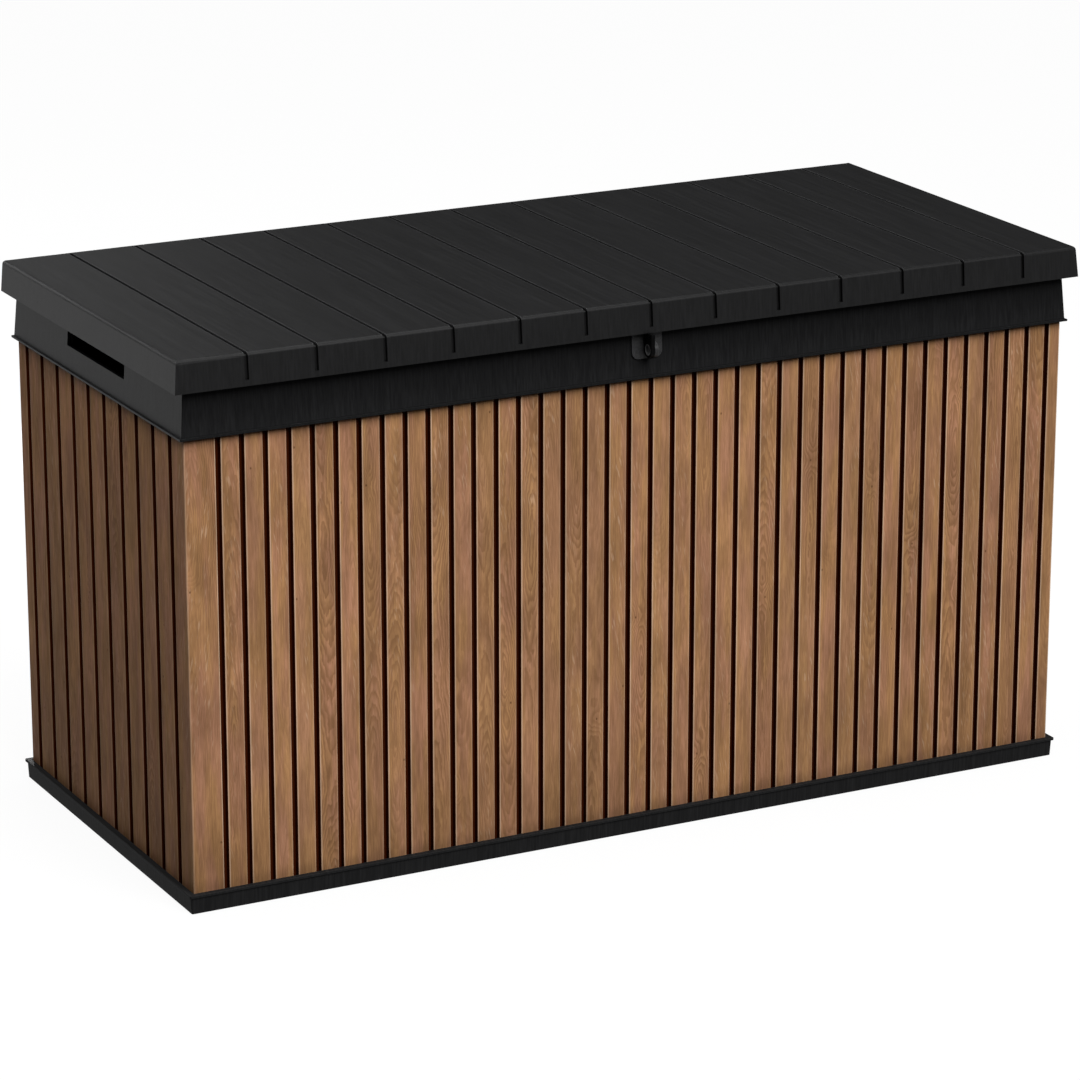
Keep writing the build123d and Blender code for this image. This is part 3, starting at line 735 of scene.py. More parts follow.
@dataclass(frozen=True)
class WoodFinish(Finish):
    """Oak-coloured boards in brown, rose and olive tones."""

    ochre: Colour
    rose: Colour
    olive: Colour
    late: Colour
    pale: Colour
    knot: Colour
    # The sides' colour: dark where the wood-look print stops; its red brown is painted light bounced off the
    # wood into the gaps.
    side: Colour
    foot: float
    head: float
    roughness: float = 0.52
    gloss: float = 0.025
    drift_range: Pair = (0.36, 0.64)
    hue_step: float = 7.31
    olive_range: Pair = (0.2, 1.0)
    olive_share: float = 0.4
    fibre_range: Pair = (0.39, 0.61)
    fibre_share: float = 0.56
    fibre_depth: float = 0.7
    ring_share: float = 0.2
    bold_share: float = 0.55
    fleck_share: float = 0.46
    # Shares of the painted edge highlight on the left and the right edge: the left edge is painted as if it
    # caught more light.
    left_highlight: float = 1.0
    right_highlight: float = 0.4
    highlight_end: float = 0.0001
    side_range: Pair = (0.0004, 0.001)
    tone_swing: float = 0.17
    tone_step: float = 23.7
    board_swing: float = 0.07
    # Painted shade: just above the plinth, just under the collar, and darker towards the foot.
    foot_shade: float = 0.72
    head_shade: float = 0.62
    shade_reach: float = 0.024
    lower_shade: float = 0.82
    lower_reach: float = 0.24
    smoother: float = 0.08
    rougher: float = 0.1
    bump: float = 0.4
    relief: float = 0.0002

    def material(self) -> bpy.types.Material:
        """Builds the wood from the shared figure, with a tone of its own for each board."""
        made, wiring, shader = self.start()
        place, depth = (
            wiring.node("ShaderNodeAttribute", attribute_name=name, attribute_type="GEOMETRY")
            for name in (GRAIN_PLACE, BOARD_DEPTH)
        )
        figure = wiring.group(WoodFigure.tree(), Place=place.outputs["Vector"])
        across, height, own = wiring.parts(place.outputs["Vector"])
        fibre = wiring.span(figure["Fibre"], *self.fibre_range)
        colour = self._edges(wiring, self._grain(wiring, figure, fibre, own), across, depth.outputs["Fac"])
        shade = self._shade(wiring, figure["Tone"], height, own)
        smooth, rough = self.roughness - self.smoother, self.roughness + self.rougher
        relief = wiring.minus(wiring.times(fibre, -self.fibre_depth), figure["Ring"])
        values = {
            "Base Color": wiring.mix(1.0, colour, shade, "MULTIPLY"),
            "Roughness": wiring.span(figure["Fibre"], *NOISE_RANGE, smooth, rough),
            "Normal": wiring.bump(relief, self.bump, self.relief),
            "Specular IOR Level": self.gloss,
        }
        wiring.fill(shader, values)
        return made

    def _grain(self, wiring: Wiring, figure: dict[str, Socket], fibre: Socket, own: Socket) -> Socket:
        """Lays the figure over the board's own hue.

        Args:
            wiring: the material's wiring.
            figure: the figure's layers by name.
            fibre: the fibre with its full contrast.
            own: the number that belongs to the board alone.

        Returns:
            The socket of the colour.
        """
        drift = wiring.span(figure["Drift"], *self.drift_range)
        colour = wiring.mix(drift, rgba(self.ochre), rgba(self.rose))
        hue = wiring.math("FRACT", wiring.times(own, self.hue_step))
        bold = wiring.times(figure["Bold"], self.bold_share)
        layers = (
            (wiring.span(hue, *self.olive_range, 0.0, self.olive_share), self.olive),
            (wiring.times(fibre, self.fibre_share), self.late),
            (wiring.times(figure["Ring"], wiring.plus(bold, self.ring_share)), self.late),
            (wiring.times(figure["Fleck"], self.fleck_share), self.pale),
            (figure["Knot"], self.knot),
        )
        for share, tone in layers:
            colour = wiring.mix(share, colour, rgba(tone))
        return colour

    def _edges(self, wiring: Wiring, colour: Socket, across: Socket, depth: Socket) -> Socket:
        """Paints a highlight along a board's long edges, stronger on the left one, and colours its sides
        dark red brown.

        Args:
            wiring: the material's wiring.
            colour: the colour of the face.
            across: the place across the board, which is below zero on its left half.
            depth: the depth behind the face, as Section gives it.

        Returns:
            The socket of the colour.
        """
        on_left = wiring.math("LESS_THAN", across, 0.0)
        share = wiring.span(on_left, 0.0, 1.0, self.right_highlight, self.left_highlight)
        # Painted highlight along both long edges, stronger on the left.
        wear_and_highlight = wiring.times(wiring.span(depth, -EDGE_HIGHLIGHT_REACH, -self.highlight_end), share)
        colour = wiring.mix(wear_and_highlight, colour, rgba(self.pale))
        # Sides: dark where the print stops; their red brown is painted bounced light.
        return wiring.mix(wiring.span(depth, *self.side_range), colour, rgba(self.side))

    def _shade(self, wiring: Wiring, tone: Socket, height: Socket, own: Socket) -> Socket:
        """Gives the shade: changes of tone along and between boards, and painted shade: darker towards the
        foot, darker still just above the plinth and just under the collar.

        Args:
            wiring: the material's wiring.
            tone: the figure's slow noise.
            height: the height on the board.
            own: the number that belongs to the board alone.

        Returns:
            The socket of a value that the colour is multiplied by.
        """
        board = wiring.math("FRACT", wiring.times(own, self.tone_step))
        shade = wiring.span(tone, *NOISE_RANGE, 1.0 - self.tone_swing, 1.0 + self.tone_swing)
        # Painted shade above the plinth, under the collar and towards the foot, then each board's own tone.
        layers = (
            wiring.span(height, self.foot, self.foot + self.shade_reach, self.foot_shade, 1.0),
            wiring.span(height, self.head - self.shade_reach, self.head, 1.0, self.head_shade),
            wiring.span(height, self.foot, self.foot + self.lower_reach, self.lower_shade, 1.0),
            wiring.span(board, 0.0, 1.0, 1.0 - self.board_swing, 1.0 + self.board_swing),
        )
        for layer in layers:
            shade = wiring.times(shade, layer)
        return shade


@dataclass(frozen=True)
class MetalFinish(Finish):
    """Steel, plated or painted, with fine brushing and brighter rubbed edges."""

    colour: Colour
    rub_and_highlight: Colour
    roughness: float = 0.34
    metallic: float = 1.0
    brush: float = 900.0
    along: float = 40.0
    grit: float = 1800.0
    edge_reach: float = 0.0009
    dull_shade: float = 0.8
    worn_range: Pair = (0.4, 0.6)
    smoother: float = 0.08
    rougher: float = 0.1
    bump: float = 0.3
    relief: float = 0.00006

    def material(self) -> bpy.types.Material:
        """Builds the metal from the shared grain and rubbed edge."""
        made, wiring, shader = self.start()
        grain = wiring.group(MouldedGrain.tree(), Across=self.brush, Along=self.along, Grit=self.grit)
        edge = wiring.group(EdgeWearAndHighlight.tree(), Reach=self.edge_reach)["Edge"]
        streak = wiring.span(grain["Streak"], *NOISE_RANGE)
        colour = wiring.mix(streak, rgba(self.colour, self.dull_shade), rgba(self.colour))
        wear_and_highlight = wiring.times(edge, wiring.span(grain["Patch"], *self.worn_range))
        smooth, rough = self.roughness - self.smoother, self.roughness + self.rougher
        values = {
            "Base Color": wiring.mix(wear_and_highlight, colour, rgba(self.rub_and_highlight)),
            "Roughness": wiring.span(grain["Speck"], *NOISE_RANGE, smooth, rough),
            "Normal": wiring.bump(grain["Speck"], self.bump, self.relief),
            "Metallic": self.metallic,
        }
        wiring.fill(shader, values)
        return made


class FinishBook:
    """The finishes of the box by name, with each material made once."""

    def __init__(self, finishes: Iterable[Finish]) -> None:
        """Keeps the finishes by name."""
        self.finishes = {finish.name: finish for finish in finishes}
        self.made: dict[str, bpy.types.Material] = {}

    def dress(self, obj: bpy.types.Object, name: str) -> None:
        """Gives an object one finish all over.

        Args:
            obj: the object to dress.
            name: the finish's name.
        """
        if name not in self.made:
            self.made[name] = self.finishes[name].material()
        obj.data.materials.clear()
        obj.data.materials.append(self.made[name])


@dataclass(frozen=True)
class Island:
    """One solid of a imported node: its corners and its points."""

    low: Vector
    high: Vector
    points: tuple[Vector, ...]

    @property
    def middle(self) -> Vector:
        """The middle of the solid's box."""
        return (self.low + self.high) / 2.0

    @property
    def size(self) -> Vector:
        """The lengths of the solid's box."""
        return self.high - self.low


def islands(node: str) -> list[Island]:
    """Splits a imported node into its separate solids.

    Args:
        node: the node's name.

    Returns:
        The solids, in order of place.
    """
    draft = bmesh.new()
    draft.from_mesh(frame["nodes"][node].data)
    bmesh.ops.remove_doubles(draft, verts=draft.verts, dist=JOIN_REACH)
    left = set(draft.verts)
    found = []
    while left:
        queue, points = [left.pop()], []
        while queue:
            vert = queue.pop()
            points.append(vert.co.copy())
            near = {edge.other_vert(vert) for edge in vert.link_edges} & left
            left -= near
            queue.extend(near)
        low, high = (Vector(end(point[axis] for point in points) for axis in range(3)) for end in (min, max))
        found.append(Island(low, high, tuple(points)))
    draft.free()
    return sorted(found, key=lambda island: tuple(round(part, ORDER_DIGITS) for part in island.middle))


def linked(name: str, data: bpy.types.ID) -> bpy.types.Object:
    """Makes an object of some data and links it into the scene."""
    made = bpy.data.objects.new(name, data)
    bpy.context.scene.collection.objects.link(made)
    return made


def even_shading(obj: bpy.types.Object) -> None:
    """Shades the flat faces of an object flat, up to its rounded edges."""
    obj.modifiers.new("even_shading", "WEIGHTED_NORMAL").keep_sharp = True


def finish_mesh(mesh: bpy.types.Mesh, crease: float) -> bpy.types.Object:
    """Turns a mesh's faces outward, shades it smooth but for its creases, and links it.

    Args:
        mesh: the mesh, whose name its object takes.
        crease: the angle in degrees from which an edge stays sharp.

    Returns:
        The object.
    """
    draft = bmesh.new()
    draft.from_mesh(mesh)
    bmesh.ops.recalc_face_normals(draft, faces=draft.faces)
    draft.to_mesh(mesh)
    draft.free()
    mesh.polygons.foreach_set("use_smooth", [True] * len(mesh.polygons))
    mesh.set_sharp_from_angle(angle=math.radians(crease))
    obj = linked(mesh.name, mesh)
    even_shading(obj)
    return obj


def seat(
    mesh: bpy.types.Mesh,
    book: FinishBook,
    body: str,
    finish: str,
    nodes: tuple[str, ...] = (),
    crease: float = CREASE,
) -> None:
    """Turns a mesh into a dressed piece and puts it on its body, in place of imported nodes.

    Args:
        mesh: the mesh, whose name the piece takes.
        book: the finishes.
        body: the body that the piece moves with.
        finish: the name of its finish.
        nodes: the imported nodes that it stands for.
        crease: the angle in degrees from which an edge stays sharp.
    """
    piece = finish_mesh(mesh, crease)
    book.dress(piece, finish)
    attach(piece, body)
    if nodes:
        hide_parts(*nodes)
    LOG.info("%s rides on %s for %s", piece.name, body, ", ".join(nodes) or "no packed node")


@dataclass(frozen=True)
class Section:
    """The outline of an upright board: its points, how far across each lies and how deep behind the face.

    A point on the face itself has a depth below zero, which is its way to the nearest edge, up to the reach
    of the painted edge highlight.
    """

    points: list[Vector]
    widths: list[float]
    depths: list[float]


def bar_faces(first: int, count: int) -> list[tuple[int, ...]]:
    """Gives the faces of a bar with capped ends.

    Args:
        first: the number of its first point.
        count: how many points each of its two end outlines has.

    Returns:
        The faces along the bar, then its two ends.
    """
    faces = []
    for step in range(count):
        after = (step + 1) % count
        faces.append((first + step, first + after, first + count + after, first + count + step))
    return faces + [tuple(range(start, start + count)) for start in (first, first + count)]


class BoardDraft:
    """Gathers the points and faces of upright boards, with the place and depth of each point."""

    def __init__(self) -> None:
        """Starts an empty draft."""
        self.points: list[Vector] = []
        self.places: list[Vector] = []
        self.depths: list[float] = []
        self.faces: list[tuple[int, ...]] = []

    def add(self, section: Section, bottom: float, top: float, own: float) -> None:
        """Adds a board with capped ends.

        Args:
            section: its outline, with the place of each point on the board.
            bottom: the height of its lower end.
            top: the height of its upper end.
            own: the number that belongs to this board alone.
        """
        self.faces += bar_faces(len(self.points), len(section.points))
        for height in (bottom, top):
            for point, width, depth in zip(section.points, section.widths, section.depths):
                self.points.append(point + Vector((0.0, 0.0, height)))
                self.places.append(Vector((width, height, own)))
                self.depths.append(depth)

    def seat(self, name: str, book: FinishBook, node: str) -> None:
        """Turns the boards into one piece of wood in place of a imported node.

        Args:
            name: the piece's name.
            book: the finishes.
            node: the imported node.
        """
        mesh = bpy.data.meshes.new(name)
        mesh.from_pydata(self.points, [], self.faces)
        places = mesh.attributes.new(GRAIN_PLACE, "FLOAT_VECTOR", "POINT")
        places.data.foreach_set("vector", [part for place in self.places for part in place])
        mesh.attributes.new(BOARD_DEPTH, "FLOAT", "POINT").data.foreach_set("value", self.depths)
        seat(mesh, book, BOX_BODY, "slat_wood", (node,))


def arc(centre: Vector, start: Vector, end: Vector, radius: float, steps: int) -> list[Vector]:
    """Draws a quarter round.

    Args:
        centre: the middle of the round.
        start: the direction from the middle to its first point.
        end: the direction from the middle to its last point.
        radius: its radius.
        steps: how many edges it has.

    Returns:
        The points from the first to the last.
    """
    turns = [QUARTER_TURN * step / steps for step in range(steps + 1)]
    return [centre + (start * math.cos(turn) + end * math.sin(turn)) * radius for turn in turns]


def run_lengths(outline: list[Vector]) -> list[float]:
    """Gives each point's distance along its outline, counted from the outline's middle."""
    lengths = [0.0]
    for before, after in zip(outline, outline[1:]):
        lengths.append(lengths[-1] + (after - before).length)
    return [length - lengths[-1] / 2.0 for length in lengths]


class SubAssembly:
    """A part of the box that is built or dressed as one."""

    def build(self, book: FinishBook) -> None:
        """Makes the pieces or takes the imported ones, and dresses them.

        Args:
            book: the finishes.
        """
        raise NotImplementedError


@dataclass
class SlatWall(SubAssembly):
    """The row of wood slats on one wall."""

    node: str
    facing: Facing
    draw: random.Random
    edge_round: float = 0.0016
    edge_steps: int = 4

    def build(self, book: FinishBook) -> None:
        """Builds a board for each packed slat; see SubAssembly.build."""
        draft = BoardDraft()
        for solid in islands(self.node):
            draft.add(self._section(solid), solid.low.z, solid.high.z, self.draw.random())
        draft.seat(f"{self.node}_boards", book, self.node)

    def _section(self, solid: Island) -> Section:
        """Draws one slat's section: flat behind, with two rounded edges in front."""
        out, across = self.facing.out, self.facing.across
        width = abs(solid.size.dot(across))
        depth = abs(solid.size.dot(out))
        middle = Vector((solid.middle.x, solid.middle.y, 0.0))
        back = middle - out * depth / 2.0
        left, right = back - across * width / 2.0, back + across * width / 2.0
        inset, highlight_band = out * (depth - self.edge_round), across * (self.edge_round + EDGE_HIGHLIGHT_REACH)
        rise = arc(left + inset + across * self.edge_round, -across, out, self.edge_round, self.edge_steps)
        fall = arc(right + inset - across * self.edge_round, out, across, self.edge_round, self.edge_steps)
        flat = [left + out * depth + highlight_band, right + out * depth - highlight_band]
        points = [left, *rise, *flat, *fall, right]
        face = (left + out * depth).dot(out)
        depths = [-EDGE_HIGHLIGHT_REACH if point in flat else face - point.dot(out) for point in points]
        return Section(points, run_lengths(points), depths)


@dataclass
class CornerPost(SubAssembly):
    """One angled wood post, which covers a corner of the box."""

    node: str
    draw: random.Random
    thickness: float = 0.009
    corner_round: float = 0.002
    edge_round: float = 0.0016
    steps: int = 4

    def build(self, book: FinishBook) -> None:
        """Builds the post as one board; see SubAssembly.build."""
        low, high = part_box(self.node)
        draft = BoardDraft()
        draft.add(self._section(low, high), low.z, high.z, self.draw.random())
        draft.seat(f"{self.node}_board", book, self.node)

    def _section(self, low: Vector, high: Vector) -> Section:
        """Draws the post's section.

        Args:
            low: the lowest corner of its box.
            high: the highest corner of its box.

        Returns:
            The angle-shaped section.
        """
        side = 1.0 if low.x + high.x > 0.0 else -1.0
        face = 1.0 if low.y + high.y > 0.0 else -1.0
        out_x, out_y = Vector((side, 0.0, 0.0)), Vector((0.0, face, 0.0))
        corner = Vector((high.x if side > 0 else low.x, high.y if face > 0 else low.y, 0.0))
        end_x = corner - out_x * (high.x - low.x)
        end_y = corner - out_y * (high.y - low.y)
        edge, bend = self.edge_round, self.corner_round
        inner = corner - (out_x + out_y) * self.thickness
        rise = arc(end_x + (out_x - out_y) * edge, -out_x, out_y, edge, self.steps)
        turn = arc(corner - (out_x + out_y) * bend, out_y, out_x, bend, self.steps)
        fall = arc(end_y + (out_y - out_x) * edge, out_x, -out_y, edge, self.steps)
        face_x = [rise[-1] + out_x * EDGE_HIGHLIGHT_REACH, turn[0] - out_x * EDGE_HIGHLIGHT_REACH]
        face_y = [turn[-1] - out_y * EDGE_HIGHLIGHT_REACH, fall[0] + out_y * EDGE_HIGHLIGHT_REACH]
        first, last = end_x - out_y * self.thickness, end_y - out_x * self.thickness
        seen = [first, *rise, *face_x, *turn, *face_y, *fall, last]
        flat = face_x + face_y
        deep = [min((corner - point).dot(out_x), (corner - point).dot(out_y)) for point in seen]
        depths = [-EDGE_HIGHLIGHT_REACH if point in flat else depth for point, depth in zip(seen, deep)]
        return Section(seen + [inner], run_lengths(seen) + [0.0], depths + [self.thickness])


@dataclass
class GrooveStops(SubAssembly):
    """The hem along the lid's back: it closes each groove where the rounded back edge crosses it."""

    grooves: GrooveRow
    edge_round: float = 0.0065
    depth: float = 0.0042
    tail: float = 0.001
    overlap: float = 0.0013
    sunk: float = 0.00005
    steps: int = 8

    def build(self, book: FinishBook) -> None:
        """Builds one stop for each groove; see SubAssembly.build."""
        points, faces = [], []
        section = self._section()
        half = self.grooves.half_width + self.overlap
        for place in self.grooves.places:
            faces += bar_faces(len(points), len(section))
            points += [point + Vector((place + way, 0.0, 0.0)) for way in (-half, half) for point in section]
        mesh = bpy.data.meshes.new("lid_groove_stops")
        mesh.from_pydata(points, [], faces)
        seat(mesh, book, LID_BODY, "lid_hem_resin")

    def _section(self) -> list[Vector]:
        """Draws a stop from the side: the lid's rounded back edge outside, the groove's floor inside."""
        up, out = Vector((0.0, 0.0, 1.0)), Vector((0.0, 1.0, 0.0))
        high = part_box("lid_shell")[1]
        corner = Vector((0.0, high.y, high.z)) - (up + out) * self.sunk
        reach = self.edge_round + self.tail
        turn = arc(corner - (up + out) * self.edge_round, up, out, self.edge_round, self.steps)
        inner = corner - (up + out) * self.depth
        floor_end, wall_end = corner - out * reach - up * self.depth, corner - up * reach - out * self.depth
        return [corner - out * reach, *turn, corner - up * reach, wall_end, inner, floor_end]


@dataclass(frozen=True)
class SoftEdge:
    """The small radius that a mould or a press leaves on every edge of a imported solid."""

    width: float
    steps: int = 2
    from_angle: float = 34.0
    flat_angle: float = 0.4

    def apply_to(self, obj: bpy.types.Object) -> None:
        """Adds the modifiers that join the facets, round the edges and even the shading."""
        weld = obj.modifiers.new("join_facets", "WELD")
        weld.merge_threshold = JOIN_REACH
        flat = obj.modifiers.new("flat_faces", "DECIMATE")
        flat.decimate_type = "DISSOLVE"
        flat.angle_limit = math.radians(self.flat_angle)
        bevel = obj.modifiers.new("soft_edge", "BEVEL")
        bevel.width = self.width
        bevel.segments = self.steps
        bevel.limit_method = "ANGLE"
        bevel.angle_limit = math.radians(self.from_angle)
        even_shading(obj)


@dataclass
class Moulding(SubAssembly):
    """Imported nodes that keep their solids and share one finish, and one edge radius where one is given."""

    finish: str
    nodes: tuple[str, ...]
    edge: SoftEdge | None = None

    def build(self, book: FinishBook) -> None:
        """Softens and dresses each node; see SubAssembly.build."""
        for name in self.nodes:
            node = frame["nodes"][name]
            if self.edge:
                self.edge.apply_to(node)
            book.dress(node, self.finish)
            LOG.info("%s takes %s", name, self.finish)


@dataclass(frozen=True)
class ScrewLine:
    """Where a screw stands: its middle, the direction out of its head and two directions across it."""

    middle: Vector
    along: Vector
    across: Vector
    other: Vector

    def point(self, level: float, x: float, y: float) -> Vector:
        """Gives the point at a level along the screw and a place across it."""
        return self.middle + self.along * level + self.across * x + self.other * y


@dataclass
class ScrewSet(SubAssembly):
    """A group of pan-head screws with cross recesses, with shares of the head's or the shank's size."""

    node: str
    body: str
    head_sides: int = 24
    shank_sides: int = 12
    dome_steps: int = 4
    rim_share: float = 0.9
    wall_share: float = 0.35
    crown_share: float = 0.72
    tip_share: float = 0.7
    recess_arm: float = 0.62
    recess_width: float = 0.17
    recess_depth: float = 0.6
    recess_taper: float = 0.72
    axis_reach: float = 1e-5
    crease: float = 30.0

    def build(self, book: FinishBook) -> None:
        """Turns a screw for each packed one; see SubAssembly.build."""
        draft = bmesh.new()
        for solid in islands(self.node):
            self._screw(draft, solid)
        mesh = bpy.data.meshes.new(f"{self.node}_turned")
        draft.to_mesh(mesh)
        draft.free()
        seat(mesh, book, self.body, "screw_steel", (self.node,), crease=self.crease)

    def _screw(self, draft: bmesh.types.BMesh, solid: Island) -> None:
        """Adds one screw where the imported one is."""
        size, middle = solid.size, solid.middle
        axis = min(range(3), key=lambda way: abs(size[(way + 1) % 3] - size[(way + 2) % 3]))
        head_radius = size[(axis + 1) % 3] / 2.0
        along = Vector(1.0 if way == axis else 0.0 for way in range(3))
        arms = [point - middle for point in solid.points]
        off = [(arm - along * arm.dot(along)).length for arm in arms]
        rim = [arm for arm, away in zip(arms, off) if away > head_radius * self.rim_share]
        shank = min(away for away in off if away > self.axis_reach)
        if sum(arm.dot(along) for arm in rim) < 0.0:
            along = -along
        across = along.orthogonal().normalized()
        line = ScrewLine(middle, along, across, along.cross(across))
        seat_at = min(arm.dot(along) for arm in rim)
        levels = [arm.dot(along) for arm in arms]
        height = max(levels) - seat_at
        rings = [self._ring(draft, line, seat_at, head_radius, self.head_sides)]
        for step in range(self.dome_steps):
            turn = QUARTER_TURN * step / self.dome_steps
            level = seat_at + height * (self.wall_share + (1.0 - self.wall_share) * math.sin(turn))
            radius = head_radius * (self.crown_share + (1.0 - self.crown_share) * math.cos(turn))
            rings.append(self._ring(draft, line, level, radius, self.head_sides))
        for lower, upper in zip(rings, rings[1:]):
            self._skirt(draft, lower, upper)
        draft.faces.new(rings[0])
        self._recess(draft, rings[-1], line, head_radius, max(levels), height)
        neck = self._ring(draft, line, seat_at, shank, self.shank_sides)
        tip = self._ring(draft, line, min(levels), shank * self.tip_share, self.shank_sides)
        self._skirt(draft, tip, neck)
        draft.faces.new(neck)
        draft.faces.new(tip)

    @staticmethod
    def _ring(
        draft: bmesh.types.BMesh, line: ScrewLine, level: float, radius: float, sides: int
    ) -> list[bmesh.types.BMVert]:
        """Adds a ring of points around the screw.

        Args:
            draft: the mesh.
            line: where the screw stands.
            level: the ring's place along it.
            radius: the ring's radius.
            sides: how many points it has.

        Returns:
            The new points in order.
        """
        turns = [math.tau * step / sides for step in range(sides)]
        spots = [line.point(level, math.cos(turn) * radius, math.sin(turn) * radius) for turn in turns]
        return [draft.verts.new(spot) for spot in spots]

    @staticmethod
    def _skirt(draft: bmesh.types.BMesh, lower: list, upper: list) -> None:
        """Joins two rings of as many points with faces."""
        for step, vert in enumerate(lower):
            after = (step + 1) % len(lower)
            draft.faces.new((vert, lower[after], upper[after], upper[step]))

    def _recess(
        self,
        draft: bmesh.types.BMesh,
        shoulder: list[bmesh.types.BMVert],
        line: ScrewLine,
        radius: float,
        top: float,
        height: float,
    ) -> None:
        """Closes the head's top with a cross-shaped recess.

        Args:
            draft: the mesh.
            shoulder: the ring of points that the top starts from.
            line: where the screw stands.
            radius: the head's radius.
            top: where the head's top is along the screw.
            height: the head's height.
        """
        arm, half = radius * self.recess_arm, radius * self.recess_width
        quarter = [(half, half), (half, arm), (-half, arm)]
        cross = []
        for cosine, sine in ((1, 0), (0, 1), (-1, 0), (0, -1)):
            cross += [(x * cosine - y * sine, x * sine + y * cosine) for x, y in quarter]
        rings = []
        for level, shrink in ((top, 1.0), (top - height * self.recess_depth, self.recess_taper)):
            rings.append([draft.verts.new(line.point(level, x * shrink, y * shrink)) for x, y in cross])
        self._skirt(draft, rings[0], rings[1])
        draft.faces.new(rings[1])
        rims = []
        for ring in (shoulder, rings[0]):
            for step, vert in enumerate(ring):
                after = ring[(step + 1) % len(ring)]
                rims.append(draft.edges.get((vert, after)) or draft.edges.new((vert, after)))
        bmesh.ops.triangle_fill(draft, edges=rims, use_beauty=True)


@dataclass
class Sun:
    """An even light from one direction, softened over a wide angle."""

    name: str
    toward: Triple
    strength: float
    spread: float

    def build(self) -> None:
        """Makes the light, which shines from the direction that toward names."""
        data = bpy.data.lights.new(self.name, "SUN")
        data.energy = self.strength
        data.angle = self.spread
        linked(self.name, data).rotation_euler = Vector(self.toward).to_track_quat("Z", "Y").to_euler()


@dataclass
class Lamp:
    """One soft studio light, round and with a cone that can be narrowed."""

    name: str
    place: Triple
    aim: Triple
    size: float
    power: float
    spread: float = math.pi

    def build(self) -> None:
        """Makes the light, turned to its aim and unseen by the camera."""
        data = bpy.data.lights.new(self.name, "AREA")
        data.shape = "DISK"
        data.size = self.size
        data.spread = self.spread
        data.energy = self.power
        lamp = linked(self.name, data)
        lamp.location = self.place
        lamp.rotation_euler = (Vector(self.aim) - Vector(self.place)).to_track_quat("-Z", "Y").to_euler()
        lamp.visible_camera = False


@dataclass
class Studio:
    """The pale floor, the soft light and the camera."""

    lamps: tuple[Sun | Lamp, ...]
    camera_place: Triple = (-3.15935, -6.10735, 2.50906)
    camera_yaw: float = math.radians(27.31502)
    camera_pitch: float = math.radians(17.20472)
    lens: float = 151.461
    sensor: float = 36.0
    clip_end: float = 100.0
    floor_half: float = 16.0
    floor_seen: Colour = (0.93, 0.93, 0.93)
    floor_lit: Colour = (0.03, 0.03, 0.03)
    floor_glow: float = 0.92
    sky: float = 0.088

    def build(self) -> None:
        """Makes the floor, the world, the lamps and the camera."""
        self._floor()
        self._world()
        for lamp in self.lamps:
            lamp.build()
        self._camera()
        bpy.context.scene.view_settings.view_transform = "Standard"

    def _floor(self) -> None:
        """Lays a pale floor that looks white to the camera and sends back little light to the box."""
        half = self.floor_half
        mesh = bpy.data.meshes.new("floor")
        outline = [(-half, -half, 0.0), (half, -half, 0.0), (half, half, 0.0), (-half, half, 0.0)]
        mesh.from_pydata(outline, [], [(0, 1, 2, 3)])
        paper = bpy.data.materials.new("floor_paper")
        wiring = Wiring.fresh(paper)
        shaded, lit = (
            wiring.fill(wiring.node("ShaderNodeBsdfDiffuse"), {"Color": rgba(colour)})
            for colour in (self.floor_seen, self.floor_lit)
        )
        seen = wiring.blend(self.floor_glow, shaded, wiring.node("ShaderNodeEmission"))
        rays = wiring.node("ShaderNodeLightPath").outputs
        straight = wiring.math("MAXIMUM", rays["Is Camera Ray"], rays["Is Glossy Ray"])
        straight = wiring.math("MAXIMUM", straight, rays["Is Transmission Ray"])
        both = wiring.blend(straight, lit, seen)
        wiring.fill(wiring.node("ShaderNodeOutputMaterial"), {"Surface": both.outputs[0]})
        mesh.materials.append(paper)
        linked("floor", mesh)

    def _world(self) -> None:
        """Fills the room with an even, soft light."""
        world = bpy.data.worlds.new("soft_room")
        wiring = Wiring.fresh(world)
        light = wiring.fill(wiring.node("ShaderNodeBackground"), {"Strength": self.sky})
        wiring.fill(wiring.node("ShaderNodeOutputWorld"), {"Surface": light.outputs[0]})
        bpy.context.scene.world = world

    def _camera(self) -> None:
        """Sets the camera at the photograph's viewing angle."""
        data = bpy.data.cameras.new("camera")
        data.lens = self.lens
        data.sensor_width = self.sensor
        data.clip_end = self.clip_end
        camera = linked("camera", data)
        camera.location = self.camera_place
        camera.rotation_euler = (QUARTER_TURN - self.camera_pitch, 0.0, -self.camera_yaw)
        bpy.context.scene.camera = camera


SIDES = ("front", "back", "left", "right")
POSTS = tuple(f"corner_post_{row}_{side}" for row in SIDES[:2] for side in SIDES[2:])
HINGES = ("left", "middle", "right")
LEAVES = ("box_leaf", "lid_leaf")
SCREWS = {
    "corner_screws": BOX_BODY,
    "rail_screws": BOX_BODY,
    "lock_plate_screws": BOX_BODY,
    "hinge_box_screws": BOX_BODY,
    "hinge_lid_screws": LID_BODY,
    "lid_liner_screws": LID_BODY,
    "lid_eye_screws": LID_BODY,
}


